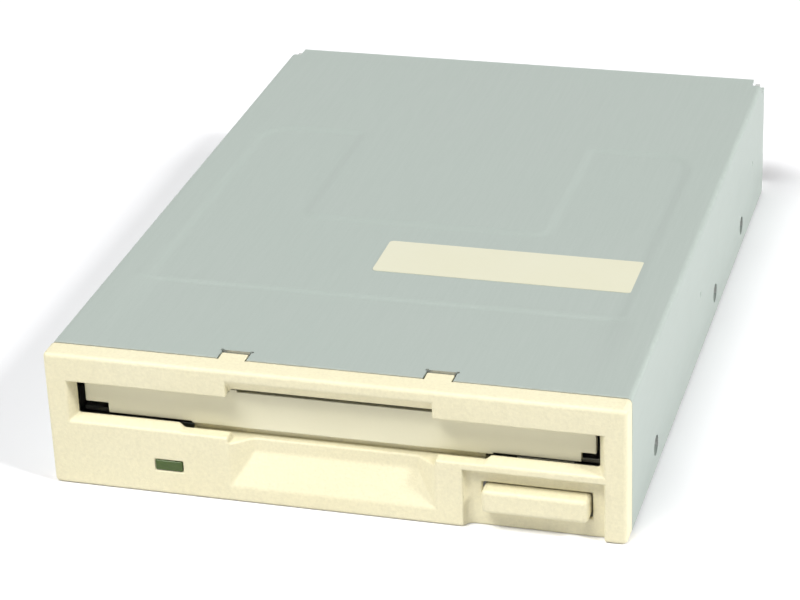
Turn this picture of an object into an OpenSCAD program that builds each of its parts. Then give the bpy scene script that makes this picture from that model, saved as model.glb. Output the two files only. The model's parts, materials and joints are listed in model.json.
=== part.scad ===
// Slot-loading disk drive for a one inch high bay: pressed steel chassis and cover, moulded front,
// eject mechanism, direct-drive spindle, head positioner and boards.
// +Z is up and the front faces -Y. Depths, named d, are counted back from the bezel's front face.

/* [Drive] */
// Width over the cover
drive_w = 101.6; // [101:0.1:110]
// Height over the cover
drive_h = 25.4; // [25.2:0.1:30]
// Depth from the bezel's face to the rear of the chassis
drive_d = 150; // [147:0.5:170]
// Length of chassis side left bare behind the cover
rear_step = 6; // [3:0.5:9]

/* [Sheet metal] */
// Thickness of the cover's sheet
cover_t = 0.6; // [0.5:0.05:0.8]
// Air between the chassis and the cover
cover_gap = 0.2; // [0.1:0.05:0.4]
// Thickness of the chassis sheet
chassis_t = 1; // [0.8:0.05:1.2]
// Height of the deck's underside above the base
deck_z = 8; // [7.8:0.1:8.2]
// Width of the chassis's base flanges
base_flange_w = 8; // [7:0.5:12]

/* [Cover pressing] */
// Depth of one pressed step in the cover
press_step = 0.35; // [0.1:0.05:0.5]
// Width of the pressed field
press_w = 86.6; // [70:0.5:94]
// Distance from the bezel's face to the end of the front ramp
ramp_end = 32.5; // [20:0.5:50]
// Distance from the bezel's face to the rear edge of the pressed field
press_end = 102.1; // [80:0.5:125]
// Corner radius of the pressed field
press_r = 6.5; // [2:0.5:12]
// Width of the raised tongue in the pressed field
tongue_w = 46.5; // [20:0.5:60]
// Distance from the bezel's face to the tongue's front edge
tongue_start = 62.2; // [50:0.5:75]
// Corner radius of the tongue
tongue_r = 3; // [1:0.5:8]

/* [Bezel] */
// Depth of the bezel from face to rear edge
bezel_d = 4.4; // [4:0.1:5]
// Thickness of the bezel's front wall
bezel_wall = 2.5; // [2.2:0.1:2.8]
// Thickness of the bezel's rim
bezel_rim = 1.6; // [1.2:0.1:1.8]
// Rounding of the bezel's front edges
bezel_edge_r = 0.8; // [0.3:0.1:1.2]
// Distance from the drive's side to the end of the disk slot
slot_side = 5.1; // [4.3:0.1:5.3]
// How much the slot flares out on each side at the face
slot_flare = 1.3; // [0.4:0.1:1.8]
// Height of the slot's lower edge
slot_low = 12.5; // [12:0.1:13]
// Height of the slot's upper edge
slot_top = 20.2; // [19.8:0.1:20.8]
// Rise of the slot's lower lip from the face to the back of the wall
lip_rise = 0.9; // [0.3:0.1:1.2]
// Width of the flat ledge between the two raised lips
lip_gap_w = 54; // [44:0.5:70]
// Width of the sloped recess above the slot
brow_w = 36; // [24:0.5:44]
// Height that the sloped recess reaches above the slot at the face
brow_h = 3.1; // [1.5:0.1:3.4]
// Distance from the drive's side to the end of the finger scoop
scoop_side = 32.6; // [30:0.2:37]
// How far each end of the scoop slopes inward
scoop_slant = 3.8; // [1:0.1:5]
// Depth of the finger scoop
scoop_depth = 3; // [2:0.1:3.2]
// Height of the scoop's lower edge at the face
scoop_low = 3; // [2:0.1:5]
// Height where the scoop's floor meets its back
scoop_floor = 8.8; // [7:0.1:10]
// Height of the ledge behind the scoop
scoop_ledge = 11.3; // [10.5:0.1:12]
// Distance of each top tab from the middle
tab_x = 18.05; // [8:0.05:30]
// Width of a top tab
tab_w = 4.7; // [2:0.1:8]
// Length of a top tab behind the rim
tab_l = 2.8; // [1:0.1:4]

/* [Eject button] */
// Width of the button
button_w = 18.2; // [10:0.1:19]
// Height of the button
button_h = 4.3; // [3:0.1:4.5]
// Distance from the drive's side to the middle of the button
button_side = 15.5; // [14.8:0.1:16.8]
// Height of the button's underside
button_z = 3.8; // [3:0.1:4]
// How far the button stands out of the face at rest
button_proud = 1; // [0.5:0.1:3]
// Gap round the button
button_gap = 0.25; // [0.15:0.05:0.4]
// Width of the pocket round the button
pocket_w = 24; // [21:0.1:24.5]
// Height of the pocket round the button
pocket_h = 11; // [9.5:0.1:11.5]
// Depth of the pocket round the button
pocket_depth = 1.6; // [0.8:0.1:1.8]

/* [Status lamp] */
// Width of the lamp's window
lamp_w = 5; // [3:0.1:6]
// Height of the lamp's window
lamp_h = 2; // [1.5:0.1:3]
// Distance from the drive's side to the middle of the lamp
lamp_side = 21.57; // [20:0.01:24]
// Height of the lamp's middle
lamp_z = 5.7; // [5:0.1:6]

/* [Dust flap] */
// Gap at each end of the flap
flap_play = 0.7; // [0.4:0.05:1]
// Thickness of the flap
flap_t = 1.2; // [0.9:0.1:1.4]
// Distance from the bezel's face to the flap's face
flap_face = 3.4; // [3.3:0.05:3.6]
// Height of the flap's lower edge
flap_low = 13.05; // [12.8:0.05:13.3]
// Height of the flap's upper edge
flap_high = 20.1; // [19.8:0.05:20.4]
// Radius of the flap's hinge pins
flap_pin_r = 0.8; // [0.6:0.05:0.9]
// Height of the flap's hinge axis
flap_axis_z = 19.6; // [19.4:0.05:19.8]
// Distance from the bezel's face to the flap's hinge axis
flap_axis_d = 4.5; // [4.4:0.05:4.7]

/* [Disk] */
// Distance from the drive's side to the side of the disk's case
disk_side = 5.8; // [5.7:0.1:6.3]
// Room beside the disk in its holder
disk_play = 0.9; // [0.4:0.1:1]
// Distance from the disk's hub to its leading edge
hub_to_edge = 43.7; // [43:0.1:44]

/* [Eject plate and holder] */
// Travel of the eject plate
eject_travel = 5; // [4:0.1:5.2]
// Drop of the disk holder
holder_drop = 2.6; // [2:0.1:2.8]
// Thickness of the eject plate
plate_t = 0.8; // [0.6:0.05:0.9]
// Thickness of the holder's sheet
holder_t = 0.8; // [0.6:0.05:0.9]
// Height of the room inside the holder
holder_room = 4.3; // [4.2:0.05:4.5]
// Distance from the bezel's face to the holder's front edge
holder_front = 13; // [12.5:0.1:16]
// Width of each lower lip of the holder
holder_lip = 4; // [2:0.1:6]
// Radius of the holder's guide pins
pin_r = 1; // [0.8:0.05:1.2]
// Distance from the bezel's face to the front guide pins
pin_front = 24; // [20:0.5:28]
// Distance between front and rear guide pins
pin_pitch = 60; // [50:0.5:66]
// Distance of the latch pin from the middle of the drive, at rest
latch_pin_x = 14; // [13.5:0.1:17]

/* [Spindle motor] */
// Distance from the bezel's face to the spindle
spindle_d = 55; // [54.5:0.1:55.5]
// Height of the hub table's top
hub_z = 12.4; // [12.2:0.05:12.6]
// Radius of the hub table
hub_r = 14; // [11:0.5:16]
// Radius of the spindle shaft
shaft_r = 1.5; // [1.2:0.05:2]
// Outer radius of the rotor cup
rotor_r = 24; // [22:0.1:25]
// Outer radius of the spindle's bearing housing
bearing_r = 6; // [4:0.1:7]
// Number of stator poles
pole_count = 12; // [6:3:12]

/* [Heads] */
// Radius of the outermost track
track_zero_r = 39.5; // [39:0.1:40]
// Travel of the heads from the outermost to the innermost track
head_travel = 14.8125; // [14:0.0125:15]
// Length of the upper arm from its hinge to its head
arm_l = 28.5; // [28:0.1:29]
// Angle through which the upper arm is lifted
arm_lift = 8.9; // [8.5:0.1:9.2]
// Height of the upper arm's hinge
pivot_z = 18.8; // [18.6:0.1:19]

/* [Positioner] */
// Middle of the lead screw, from the middle of the drive
screw_x = 27; // [26.5:0.1:27.4]
// Height of the lead screw's axis
screw_z = 16.7; // [16.6:0.05:16.9]
// Radius of the lead screw
screw_r = 1.5; // [1.2:0.05:1.8]
// Radius of the stepper motor's can
stepper_r = 7.4; // [6.5:0.1:7.5]
// Length of the stepper motor's can
stepper_l = 14; // [12:0.5:16]
// Middle of the guide rod, from the middle of the drive
rod_x = -13; // [-13.5:0.1:-12.8]
// Height of the guide rod's axis
rod_z = 12; // [11.8:0.1:12.2]
// Radius of the guide rod
rod_r = 1.5; // [1.2:0.05:1.6]

/* [Boards and connectors] */
// Thickness of the main board
board_t = 1.6; // [1.2:0.1:1.8]
// Height of the main board's underside
board_z = 2.2; // [2:0.1:2.4]
// Thickness of the motor board
motor_board_t = 1; // [0.8:0.1:1.2]
// Contacts in each row of the data connector
data_cols = 17; // [13:1:17]
// Distance between contacts of the data connector
data_pitch = 2.54; // [2.54]
// Middle of the data connector, from the middle of the drive
data_x = -11; // [-15:0.5:-11]
// Contacts of the power connector
power_cols = 4; // [3:1:4]
// Distance between contacts of the power connector
power_pitch = 2.5; // [2.5]

/* [Mounting holes] */
// Height of the side mounting holes
mount_z = 5; // [4.5:0.1:5.2]
// Distance from the bezel's face to the front mounting hole
mount_front = 25.4; // [20:0.1:30]
// Distance between the front and middle mounting holes
mount_pitch = 60; // [50:0.5:62]
// Distance between the middle and rear mounting holes
mount_rear_pitch = 31; // [20:0.5:40]
// Radius of the tapped mounting holes
mount_r = 1.25; // [1:0.05:1.5]
// Radius of the cover's clearance holes over them
mount_clear_r = 1.85; // [1.7:0.05:2.4]

/* [Clearances] */
// Clearance round a shaft that turns or slides in its bore
run_gap = 0.05; // [0.02:0.01:0.1]
// Gap between pieces that move past each other
part_gap = 0.3; // [0.3:0.05:0.4]

/* [Hidden] */
$fn = 48;
eps = 0.01;
// How far a cutting shape runs past the faces that it cuts
over = 1;

// Colours of the finishes
cream = [0.95, 0.92, 0.80];
cream_grey = [0.80, 0.78, 0.67];
cover_grey = [0.74, 0.78, 0.75];
zinc = [0.70, 0.71, 0.70];
steel = [0.62, 0.63, 0.65];
dark_plastic = [0.12, 0.12, 0.13];
board_green = [0.13, 0.36, 0.22];
board_brown = [0.42, 0.30, 0.16];
copper = [0.72, 0.42, 0.20];
gold = [0.80, 0.66, 0.32];
lens_green = [0.29, 0.44, 0.28];
ferrite = [0.20, 0.19, 0.18];

// Shell, from the outside in
half_w = drive_w / 2;
disk_w = drive_w - 2 * disk_side;
slot_w = drive_w - 2 * slot_side;
flap_w = slot_w - 2 * flap_play;
scoop_w = drive_w - 2 * scoop_side;
scoop_back_w = scoop_w - 2 * scoop_slant;
brow_back = 0.4;
button_x = half_w - button_side;
lamp_x = lamp_side - half_w;
lamp_body_r = 1.5;
lamp_end = bezel_d + 4.6;
front_y = button_proud - (drive_d + button_proud) / 2;
cover_in = half_w - cover_t;
wall_out = cover_in - cover_gap;
wall_in = wall_out - chassis_t;
wall_top = drive_h - cover_t - cover_gap;
wall_front = bezel_d + cover_gap;
deck_top = deck_z + chassis_t;
cover_end = drive_d - rear_step;
mounts = [mount_front, mount_front + mount_pitch, mount_front + mount_pitch + mount_rear_pitch];
collar_r = mount_r + 1.15;
collar_l = 1.5;
clip_slot_d = [wall_front + 3.2, wall_front + 5.8];
clip_slot_z = [2.3, 6.7];
clip_play = 0.2;

// Eject plate and disk holder, raised as with no disk inside
plate_z = deck_top + part_gap;
plate_top = plate_z + plate_t;
plate_front = 10;
bar_w = 10;
rail_side = 8.8;
rail_in = half_w - rail_side;
disk_seat = 0.1;
lip_top = hub_z + disk_seat + holder_drop;
lip_low = lip_top - holder_t;
ceiling = lip_top + holder_room;
holder_top = ceiling + holder_t;
holder_in = disk_w / 2 + disk_play;
holder_out = holder_in + holder_t;
flange_gap = 0.7;
flange_in = holder_out + flange_gap;
flange_out = flange_in + plate_t;
hinge_ear_gap = 0.2;
ear_bore_x = flange_in + hinge_ear_gap;
pin_z = (lip_top + ceiling) / 2;
pins = [pin_front, pin_front + pin_pitch];
pin_slot_r = pin_r + part_gap;
wall_pin_gap = 0.4;
pin_end = wall_out - wall_pin_gap;
ear_ahead = 4;
ear_behind = 4.5;
rail_end = pins[1] + eject_travel + ear_behind;
stop_d = spindle_d + hub_to_edge + disk_play;
stop_margin = 0.4;
holder_rear = stop_d + holder_t + stop_margin;
window_w = 22;
window_ahead = 7.7;
window_front = spindle_d + track_zero_r - head_travel - window_ahead;
stud_side = 6.3;
stud_x = half_w - stud_side;
studs = [40, 70];
guide_stud_r = 1.5;
guide_head_r = 2.4;
button_tab_w = 10;
button_tab_l = 1.8;
tab_front = plate_front - button_tab_l;
button_peg_r = 1.2;
spring_side = 11.5;
spring_x = half_w - spring_side;
spring_z = deck_top + 1.7;
spring_front = 34;
spring_rear = 62;
hook_half = 1.7;
hook_t = 0.8;
hook_top = deck_top + 3.4;

// Latch lever on the holder's top
lever_side = 12.8;
lever_x = lever_side - half_w;
lever_l = -latch_pin_x - lever_x;
lever_d = 72;
lever_stud_r = 1.6;
lever_z = holder_top + part_gap;
lever_t = 0.8;
lever_pin_r = 1;
lever_swing = 65;

// Spindle motor, from the base up
rotor_z = 1.2;
rotor_t = 0.8;
rotor_h = 4.6;
magnet_t = 1.7;
air_gap = 1;
stator_r = rotor_r - rotor_t - magnet_t - air_gap;
wind_t = 0.8;
core_t = 1.4;
core_z = rotor_z + rotor_t + part_gap + wind_t;
motor_board_drop = 0.6;
motor_board_z = deck_z - motor_board_drop - motor_board_t;
motor_board_w = 76;
motor_board_l = 56;
motor_board_ahead = 31;
motor_board_front = spindle_d - motor_board_ahead;
motor_screw_in = 4;
motor_boss_r = 2.6;
bearing_flange_r = bearing_r + 5;
bearing_flange_t = 1;
bearing_low = rotor_z + rotor_t + part_gap;
bearing_top = hub_z - 1.4;
hub_t = 1.2;
motor_screw_spots = [for (x = [-1, 1], d = [motor_screw_in, motor_board_l - motor_screw_in])
  [x * (motor_board_w / 2 - motor_screw_in), motor_board_front + d]];
bearing_screw_r = bearing_r + 2.7;
bearing_screw_turns = [90, 210, 330];
pole_w = 2.4;
drive_pin_x = hub_r * 0.7;
drive_pin_r = 1;

// Heads and positioner
head_d = spindle_d + track_zero_r;
pivot_d = head_d + arm_l;
slider_front = pivot_d - 6;
slider_rear = pivot_d + 2.5;
carriage_z = deck_top + 0.4;
arm_t = 2.2;
head_half = 2.5;
lower_head_top = hub_z + 1.6;
upper_head_low = lower_head_top + 0.6;
upper_arm_z = upper_head_low + 1.8;
upper_arm_t = 1.2;
barrel_r = 2;
hinge_pin_r = 1;
ear_x = 9;
ear_t = 2;
slider_half = 4;
clamp_t = 1.4;
clamp_half = 3;
clamp_foot_half = 2.1;
clamp_foot_t = 1.2;
clamp_front = slider_front - head_travel - part_gap - clamp_t;
clamp_rear = slider_rear + 0.7;
clamp_top = rod_z + rod_r + 0.8;
bracket_front = clamp_front + 1;
bracket_t = 1.2;
bracket_rear = slider_rear + 1.3;
bracket_low = deck_top;
bracket_x0 = screw_x - 5;
bracket_x1 = screw_x + 13;
journal_r = 0.8;
cap_t = 1;
bush_t = 0.6;
stepper_front = bracket_rear + bracket_t;
flag_x = 14.5;
flag_t = 1;
deck_end = clamp_rear + clamp_t / 2 + clamp_foot_half + part_gap;
bracket_base_t = 1;
bracket_screw_spots = [for (d = [5.5, 20.5]) [screw_x + 9, bracket_front + d]];
clamp_screw_x = rod_x - 6.5;
follower_r = 0.6;
follower_root = 17;
follower_d = pivot_d - 3.5;

// Boards and connectors
board_top = board_z + board_t;
board_hw = wall_in - 2.5;
board_front = spindle_d + rotor_r + 3;
board_rear = drive_d - 1.5;
board_screw_in = 2.5;
board_boss_r = 2.2;
board_screw_spots = [for (x = [-1, 1], d = [board_front + 6, drive_d - 14])
  [x * (board_hw - board_screw_in), d]];
screw_r3 = 1.25;
screw_head_r3 = 2.3;
screw_head_h3 = 1.2;
screw_r2 = 1;
screw_head_r2 = 1.8;
screw_head_h2 = 0.8;
screw_play = 0.25;
contact = 0.64;
data_w = (data_cols - 1) * data_pitch + 9.36;
data_l = 10.5;
data_h = 8.8;
data_z = board_top + data_h / 2;
power_w = (power_cols - 1) * power_pitch + 3.5;
power_l = 9;
power_h = 6.8;
power_x = board_hw - 0.5 - power_w / 2;
power_z = board_top + power_h / 2;
// Height of each row of contacts and how far in front of its socket it is bent down
data_rows = [[data_z - data_pitch / 2, 1.4], [data_z + data_pitch / 2, 2.9]];
power_rows = [[power_z, 1.4]];

// Sense switches
switch_d = 25;
switch_w = 6;
switch_h = 3;
switch_floor = 0.3;
plunger_r = 0.8;
plunger_travel = 1.2;
plunger_spare = 0.1;
plunger_top = hub_z + 1;
plunger_low = deck_top + switch_floor + plunger_spare + plunger_travel;
plunger_tip = 0.4;
plunger_taper = 0.3;
density_side = 14.3;
density_x = half_w - density_side;
write_x = -density_x;
disk_sense_side = 23.3;
disk_x = disk_sense_side - half_w;

// Helpers for placing and shaping

// Children modelled behind the bezel's face, moved to the drive's own origin
module from_face() { translate([0, front_y, 0]) children(); }

// Block between two corners
module block(low, high) { translate(low) cube(high - low); }

// Children on the right and mirrored on the left
module both_sides() {
  children();
  mirror([1, 0, 0]) children();
}

// Outline drawn in depth and height, run across the drive
module across(x0, x1) { translate([x0, 0, 0]) rotate([90, 0, 90]) linear_extrude(x1 - x0) children(); }

// Outline drawn in width and height, run into the depth
module inward(d0, d1) { translate([0, d1, 0]) rotate([90, 0, 0]) linear_extrude(d1 - d0) children(); }

// Outline drawn in width and depth, run upward
module upward(z0, z1) { translate([0, 0, z0]) linear_extrude(z1 - z0) children(); }

// Rods along the three directions
module rod_across(r, x0, x1) { translate([x0, 0, 0]) rotate([0, 90, 0]) cylinder(r = r, h = x1 - x0); }
module rod_inward(r, d0, d1) { translate([0, d0, 0]) rotate([-90, 0, 0]) cylinder(r = r, h = d1 - d0); }
module rod_up(r, z0, z1) { translate([0, 0, z0]) cylinder(r = r, h = z1 - z0); }

// Rectangle with round corners, from its lower left corner
module round_rect(w, h, r) {
  translate([r, 0]) square([w - 2 * r, h]);
  translate([0, r]) square([w, h - 2 * r]);
  for (x = [r, w - r], y = [r, h - r]) translate([x, y]) circle(r);
}

// Straight slot with round ends, from one point to another
module slot_outline(a, b, r) {
  run = b - a;
  translate(a) circle(r);
  translate(b) circle(r);
  flank = r * 0.999;
  translate(a) rotate(atan2(run[1], run[0])) translate([0, -flank]) square([norm(run), 2 * flank]);
}

// Block with rounded face edges, centred across, from the face backward
module soft_block(w, d, h, r) {
  intersection() {
    inward(0, d) translate([-w / 2, 0]) round_rect(w, h, r);
    across(-w / 2, w / 2) {
      translate([r, 0]) square([d - r, h]);
      translate([0, r]) square([d, h - 2 * r]);
      for (z = [r, h - r]) translate([r, z]) circle(r);
    }
    upward(0, h) {
      translate([-w / 2, r]) square([w, d - r]);
      translate([r - w / 2, 0]) square([w - 2 * r, d]);
      for (x = [r - w / 2, w / 2 - r]) translate([x, r]) circle(r);
    }
  }
}

// Screw with its head up at height z
module screw_down(r, head_r, head_h, z, length) {
  rod_up(r, z - length, z);
  difference() {
    rod_up(head_r, z, z + head_h);
    for (turn = [0, 90]) rotate(turn)
      block([-r, -head_h / 6, z + head_h / 2], [r, head_h / 6, z + head_h + eps]);
  }
}

// Springs: wire swept along a run of points
wire_sides = 6;
curl_rings = 8;
function unit(v) = v / norm(v);
function tangents(p) = let (n = len(p) - 1)
  [for (i = [0:n]) unit(p[min(i + 1, n)] - p[max(i - 1, 0)])];
function carried(t, side, i = 0, out = []) = i == len(t) ? out :
  let (s = unit(side - (side * t[i]) * t[i])) carried(t, s, i + 1, concat(out, [s]));
function helix(r, length, curls) = [for (i = [0:curls * curl_rings])
  let (a = 360 * i / curl_rings) [r * cos(a), r * sin(a), length * i / (curls * curl_rings)]];
function least_gap(p, r) = min([for (i = [0:len(p) - 1], j = [i + curl_rings / 2:1:len(p) - 1])
  norm(p[i] - p[j]) - 2 * r]);

module wire(p, r) {
  t = tangents(p);
  s = carried(t, abs(t[0][2]) < 0.9 ? [0, 0, 1] : [1, 0, 0]);
  n = len(p);
  points = [for (i = [0:n - 1], k = [0:wire_sides - 1])
    p[i] + r * (cos(60 * k) * s[i] + sin(60 * k) * cross(t[i], s[i]))];
  rings = [for (i = [0:n - 2], k = [0:wire_sides - 1])
    let (a = i * wire_sides + k, b = i * wire_sides + (k + 1) % wire_sides)
    each [[a, a + wire_sides, b], [b, a + wire_sides, b + wire_sides]]];
  first = [for (k = [1:wire_sides - 2]) [0, k, k + 1]];
  last = [for (k = [1:wire_sides - 2]) (n - 1) * wire_sides * [1, 1, 1] + [0, k + 1, k]];
  polyhedron(points, concat(rings, first, last));
}

// Chassis

module side_wall_outline() {
  tail_z = 6.2;
  shoulder_z = 8.8;
  slant = 3.5;
  polygon([[wall_front, 0], [drive_d, 0], [drive_d, tail_z], [drive_d - slant, shoulder_z],
    [cover_end - cover_gap, shoulder_z], [cover_end - cover_gap, wall_top], [wall_front, wall_top]]);
}

module chassis() {
  deck_front = plate_front - 0.4;
  stud_head_h = 0.5;
  detent_hole_r = 1;
  bearing_play = 0.1;
  flag_half = 4.5;
  flag_slot = [slider_front - head_travel - 0.2, slider_rear + 1];
  color(zinc) from_face() difference() {
    union() {
      both_sides() {
        across(wall_in, wall_out) side_wall_outline();
        block([wall_out - base_flange_w, wall_front, 0], [wall_out, drive_d, chassis_t]);
        for (d = mounts) translate([0, d, mount_z]) rod_across(collar_r, wall_in - collar_l, wall_in + eps);
        for (d = studs) translate([stud_x, d, plate_top + part_gap]) {
          rod_up(guide_stud_r, deck_top - plate_top - part_gap - eps, 0);
          rod_up(guide_head_r, 0, stud_head_h);
        }
        block([spring_x - hook_half, spring_front - hook_t, deck_top - eps],
          [spring_x + hook_half, spring_front, hook_top]);
      }
      block([-wall_in - eps, deck_front, deck_z], [wall_in + eps, deck_end, deck_top]);
      for (p = board_screw_spots) translate(p) rod_up(board_boss_r, chassis_t - eps, board_z);
      for (p = motor_screw_spots) translate(p)
        rod_up(motor_boss_r, motor_board_z + motor_board_t, deck_z + eps);
    }
    both_sides() {
      for (d = mounts) translate([0, d, mount_z])
        rod_across(mount_r, wall_in - collar_l - over, wall_out + over);
      for (d = pins) across(wall_in - over, wall_out + over)
        slot_outline([d, pin_z - holder_drop], [d, wall_top + pin_slot_r], pin_slot_r);
      block([wall_in - over, clip_slot_d[0], clip_slot_z[0]],
        [wall_out + over, clip_slot_d[1], clip_slot_z[1]]);
      detent_spots() rod_across(detent_hole_r, wall_in - over, wall_out + over);
    }
    translate([0, spindle_d, 0]) {
      rod_up(bearing_r + bearing_play, deck_z - over, deck_top + over);
      for (a = bearing_screw_turns) rotate(a) translate([bearing_screw_r, 0])
        rod_up(screw_r2, deck_z - over, deck_top + over);
    }
    block([flag_x - flag_half, flag_slot[0], deck_z - over],
      [flag_x + flag_half, flag_slot[1], deck_top + over]);
    for (p = board_screw_spots) translate(p) rod_up(screw_r3, -over, board_z + over);
    for (p = motor_screw_spots) translate(p) rod_up(screw_r3, motor_board_z, deck_top + over);
    for (p = bracket_screw_spots) translate(p) rod_up(screw_r3, deck_z - over, deck_top + over);
    for (d = [clamp_front, clamp_rear]) translate([clamp_screw_x, d + clamp_t / 2, 0])
      rod_up(screw_r2, deck_z - over, deck_top + over);
  }
}

// Places of the pressed detents that hold the cover to the chassis
module detent_spots() {
  front = 69;
  from_rear = 14;
  for (d = [front, cover_end - from_rear]) translate([0, d, drive_h / 2]) children();
}

// Top cover

module press_outline() {
  tongue_l = press_end - tongue_start + 2 * tongue_r;
  difference() {
    union() {
      translate([-press_w / 2, ramp_end]) square([press_w, tongue_start - ramp_end + press_r]);
      translate([-press_w / 2, ramp_end + press_r])
        round_rect(press_w, press_end - ramp_end - press_r, press_r);
    }
    translate([-tongue_w / 2, tongue_start]) round_rect(tongue_w, tongue_l, tongue_r);
  }
}

module ramp_outline() {
  polygon([[bezel_d - over, drive_h + over], [bezel_d - over, drive_h], [bezel_d, drive_h],
    [ramp_end, drive_h - 2 * press_step], [ramp_end, drive_h + over]]);
}

module top_cover() {
  bend_r = 1;
  lap = cover_t / 2;
  notch_gap = part_gap;
  notch_end = bezel_d + tab_l + notch_gap;
  relief_r = 0.35;
  flange_low = 0.5;
  corner_relief = 1.6;
  detent_r = 0.7;
  detent_l = 0.4;
  dimple_r = 0.4;
  color(cover_grey) from_face() difference() {
    union() {
      inward(bezel_d, cover_end) difference() {
        translate([-half_w, -bend_r]) round_rect(drive_w, drive_h + bend_r, bend_r);
        translate([-cover_in, -2 * bend_r])
          round_rect(2 * cover_in, drive_h - cover_t + 2 * bend_r, bend_r - cover_t);
        translate([-half_w - over, -2 * bend_r]) square([drive_w + 2 * over, 2 * bend_r + flange_low]);
      }
      intersection() {
        across(-press_w / 2 - lap, press_w / 2 + lap)
          polygon([[bezel_d, drive_h], [bezel_d, drive_h - cover_t],
            [ramp_end + lap, drive_h - 2 * press_step - cover_t], [ramp_end + lap, drive_h]]);
        upward(0, drive_h - cover_t + eps) square([drive_w, 2 * ramp_end], center = true);
      }
      upward(drive_h - press_step - cover_t, drive_h - cover_t + eps) press_underside(lap);
      both_sides() detent_spots() rod_across(detent_r, wall_in + detent_l, cover_in + eps);
    }
    across(-press_w / 2, press_w / 2) ramp_outline();
    upward(drive_h - press_step, drive_h + over) press_outline();
    both_sides() {
      block([tab_x - tab_w / 2 - notch_gap, bezel_d - over, drive_h / 2],
        [tab_x + tab_w / 2 + notch_gap, notch_end, drive_h + over]);
      for (x = [-1, 1]) translate([tab_x + x * (tab_w / 2 + notch_gap), notch_end, 0])
        rod_up(relief_r, drive_h / 2, drive_h + over);
      for (d = mounts) translate([0, d, mount_z]) rod_across(mount_clear_r, cover_in - over, half_w + over);
      block([cover_in - corner_relief, cover_end - 2 * corner_relief, drive_h - corner_relief],
        [half_w + over, cover_end + over, drive_h + over]);
      detent_spots() rod_across(dimple_r, half_w - cover_t / 2, half_w + over);
    }
  }
}

// Underside of the pressed field, a lap wider than the field
module press_underside(lap) {
  difference() {
    translate([-press_w / 2 - lap, ramp_end - lap])
      square([press_w + 2 * lap, press_end - ramp_end + 2 * lap]);
    translate([lap - tongue_w / 2, tongue_start + lap])
      square([tongue_w - 2 * lap, press_end - tongue_start + 2 * lap]);
  }
}

// Front bezel

module slot_cut() {
  reach = slot_w / 2 + slot_flare;
  gap_low = (lip_gap_w - lip_rise) / 2;
  gap_high = gap_low + lip_rise;
  intersection() {
    across(-half_w, half_w) polygon([[-over, slot_low], [0, slot_low], [bezel_wall, slot_low + lip_rise],
      [bezel_d + over, slot_low + lip_rise], [bezel_d + over, slot_top], [-over, slot_top]]);
    upward(0, drive_h) polygon([[-reach, -over], [reach, -over], [reach, 0], [slot_w / 2, bezel_wall],
      [slot_w / 2, bezel_d + over], [-slot_w / 2, bezel_d + over], [-slot_w / 2, bezel_wall], [-reach, 0]]);
  }
  inward(-over, bezel_wall + eps) polygon([[-gap_low, slot_low], [gap_low, slot_low],
    [gap_high, slot_low + lip_rise], [gap_high, slot_top], [-gap_high, slot_top],
    [-gap_high, slot_low + lip_rise]]);
  across(-brow_w / 2, brow_w / 2) polygon([[-over, slot_top - over], [-over, slot_top + brow_h],
    [0, slot_top + brow_h], [bezel_wall, slot_top + brow_back], [bezel_wall + eps, slot_top - over]]);
}

// Finger scoop: a floor that rises to the back between slanted ends, with straight ends above its ledge
module scoop_cut() {
  intersection() {
    across(-half_w, half_w) polygon([[-over, scoop_low], [0, scoop_low], [scoop_depth, scoop_floor],
      [scoop_depth, scoop_ledge + eps], [-over, scoop_ledge + eps]]);
    upward(0, drive_h) polygon([[-scoop_w / 2, -over], [scoop_w / 2, -over], [scoop_w / 2, 0],
      [scoop_back_w / 2, scoop_depth], [-scoop_back_w / 2, scoop_depth], [-scoop_w / 2, 0]]);
  }
  block([-scoop_w / 2, -over, scoop_ledge], [scoop_w / 2, scoop_depth, slot_low + over]);
}

module pocket_cut() {
  shift = 0.4;
  left = button_x - pocket_w / 2 - shift;
  r = pocket_depth;
  upward(-over, pocket_h) difference() {
    translate([left, -over]) square([pocket_w, pocket_depth + over]);
    difference() {
      translate([left - eps, 0]) square([r + eps, r + eps]);
      translate([left + r, 0]) circle(r);
    }
  }
}

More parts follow.
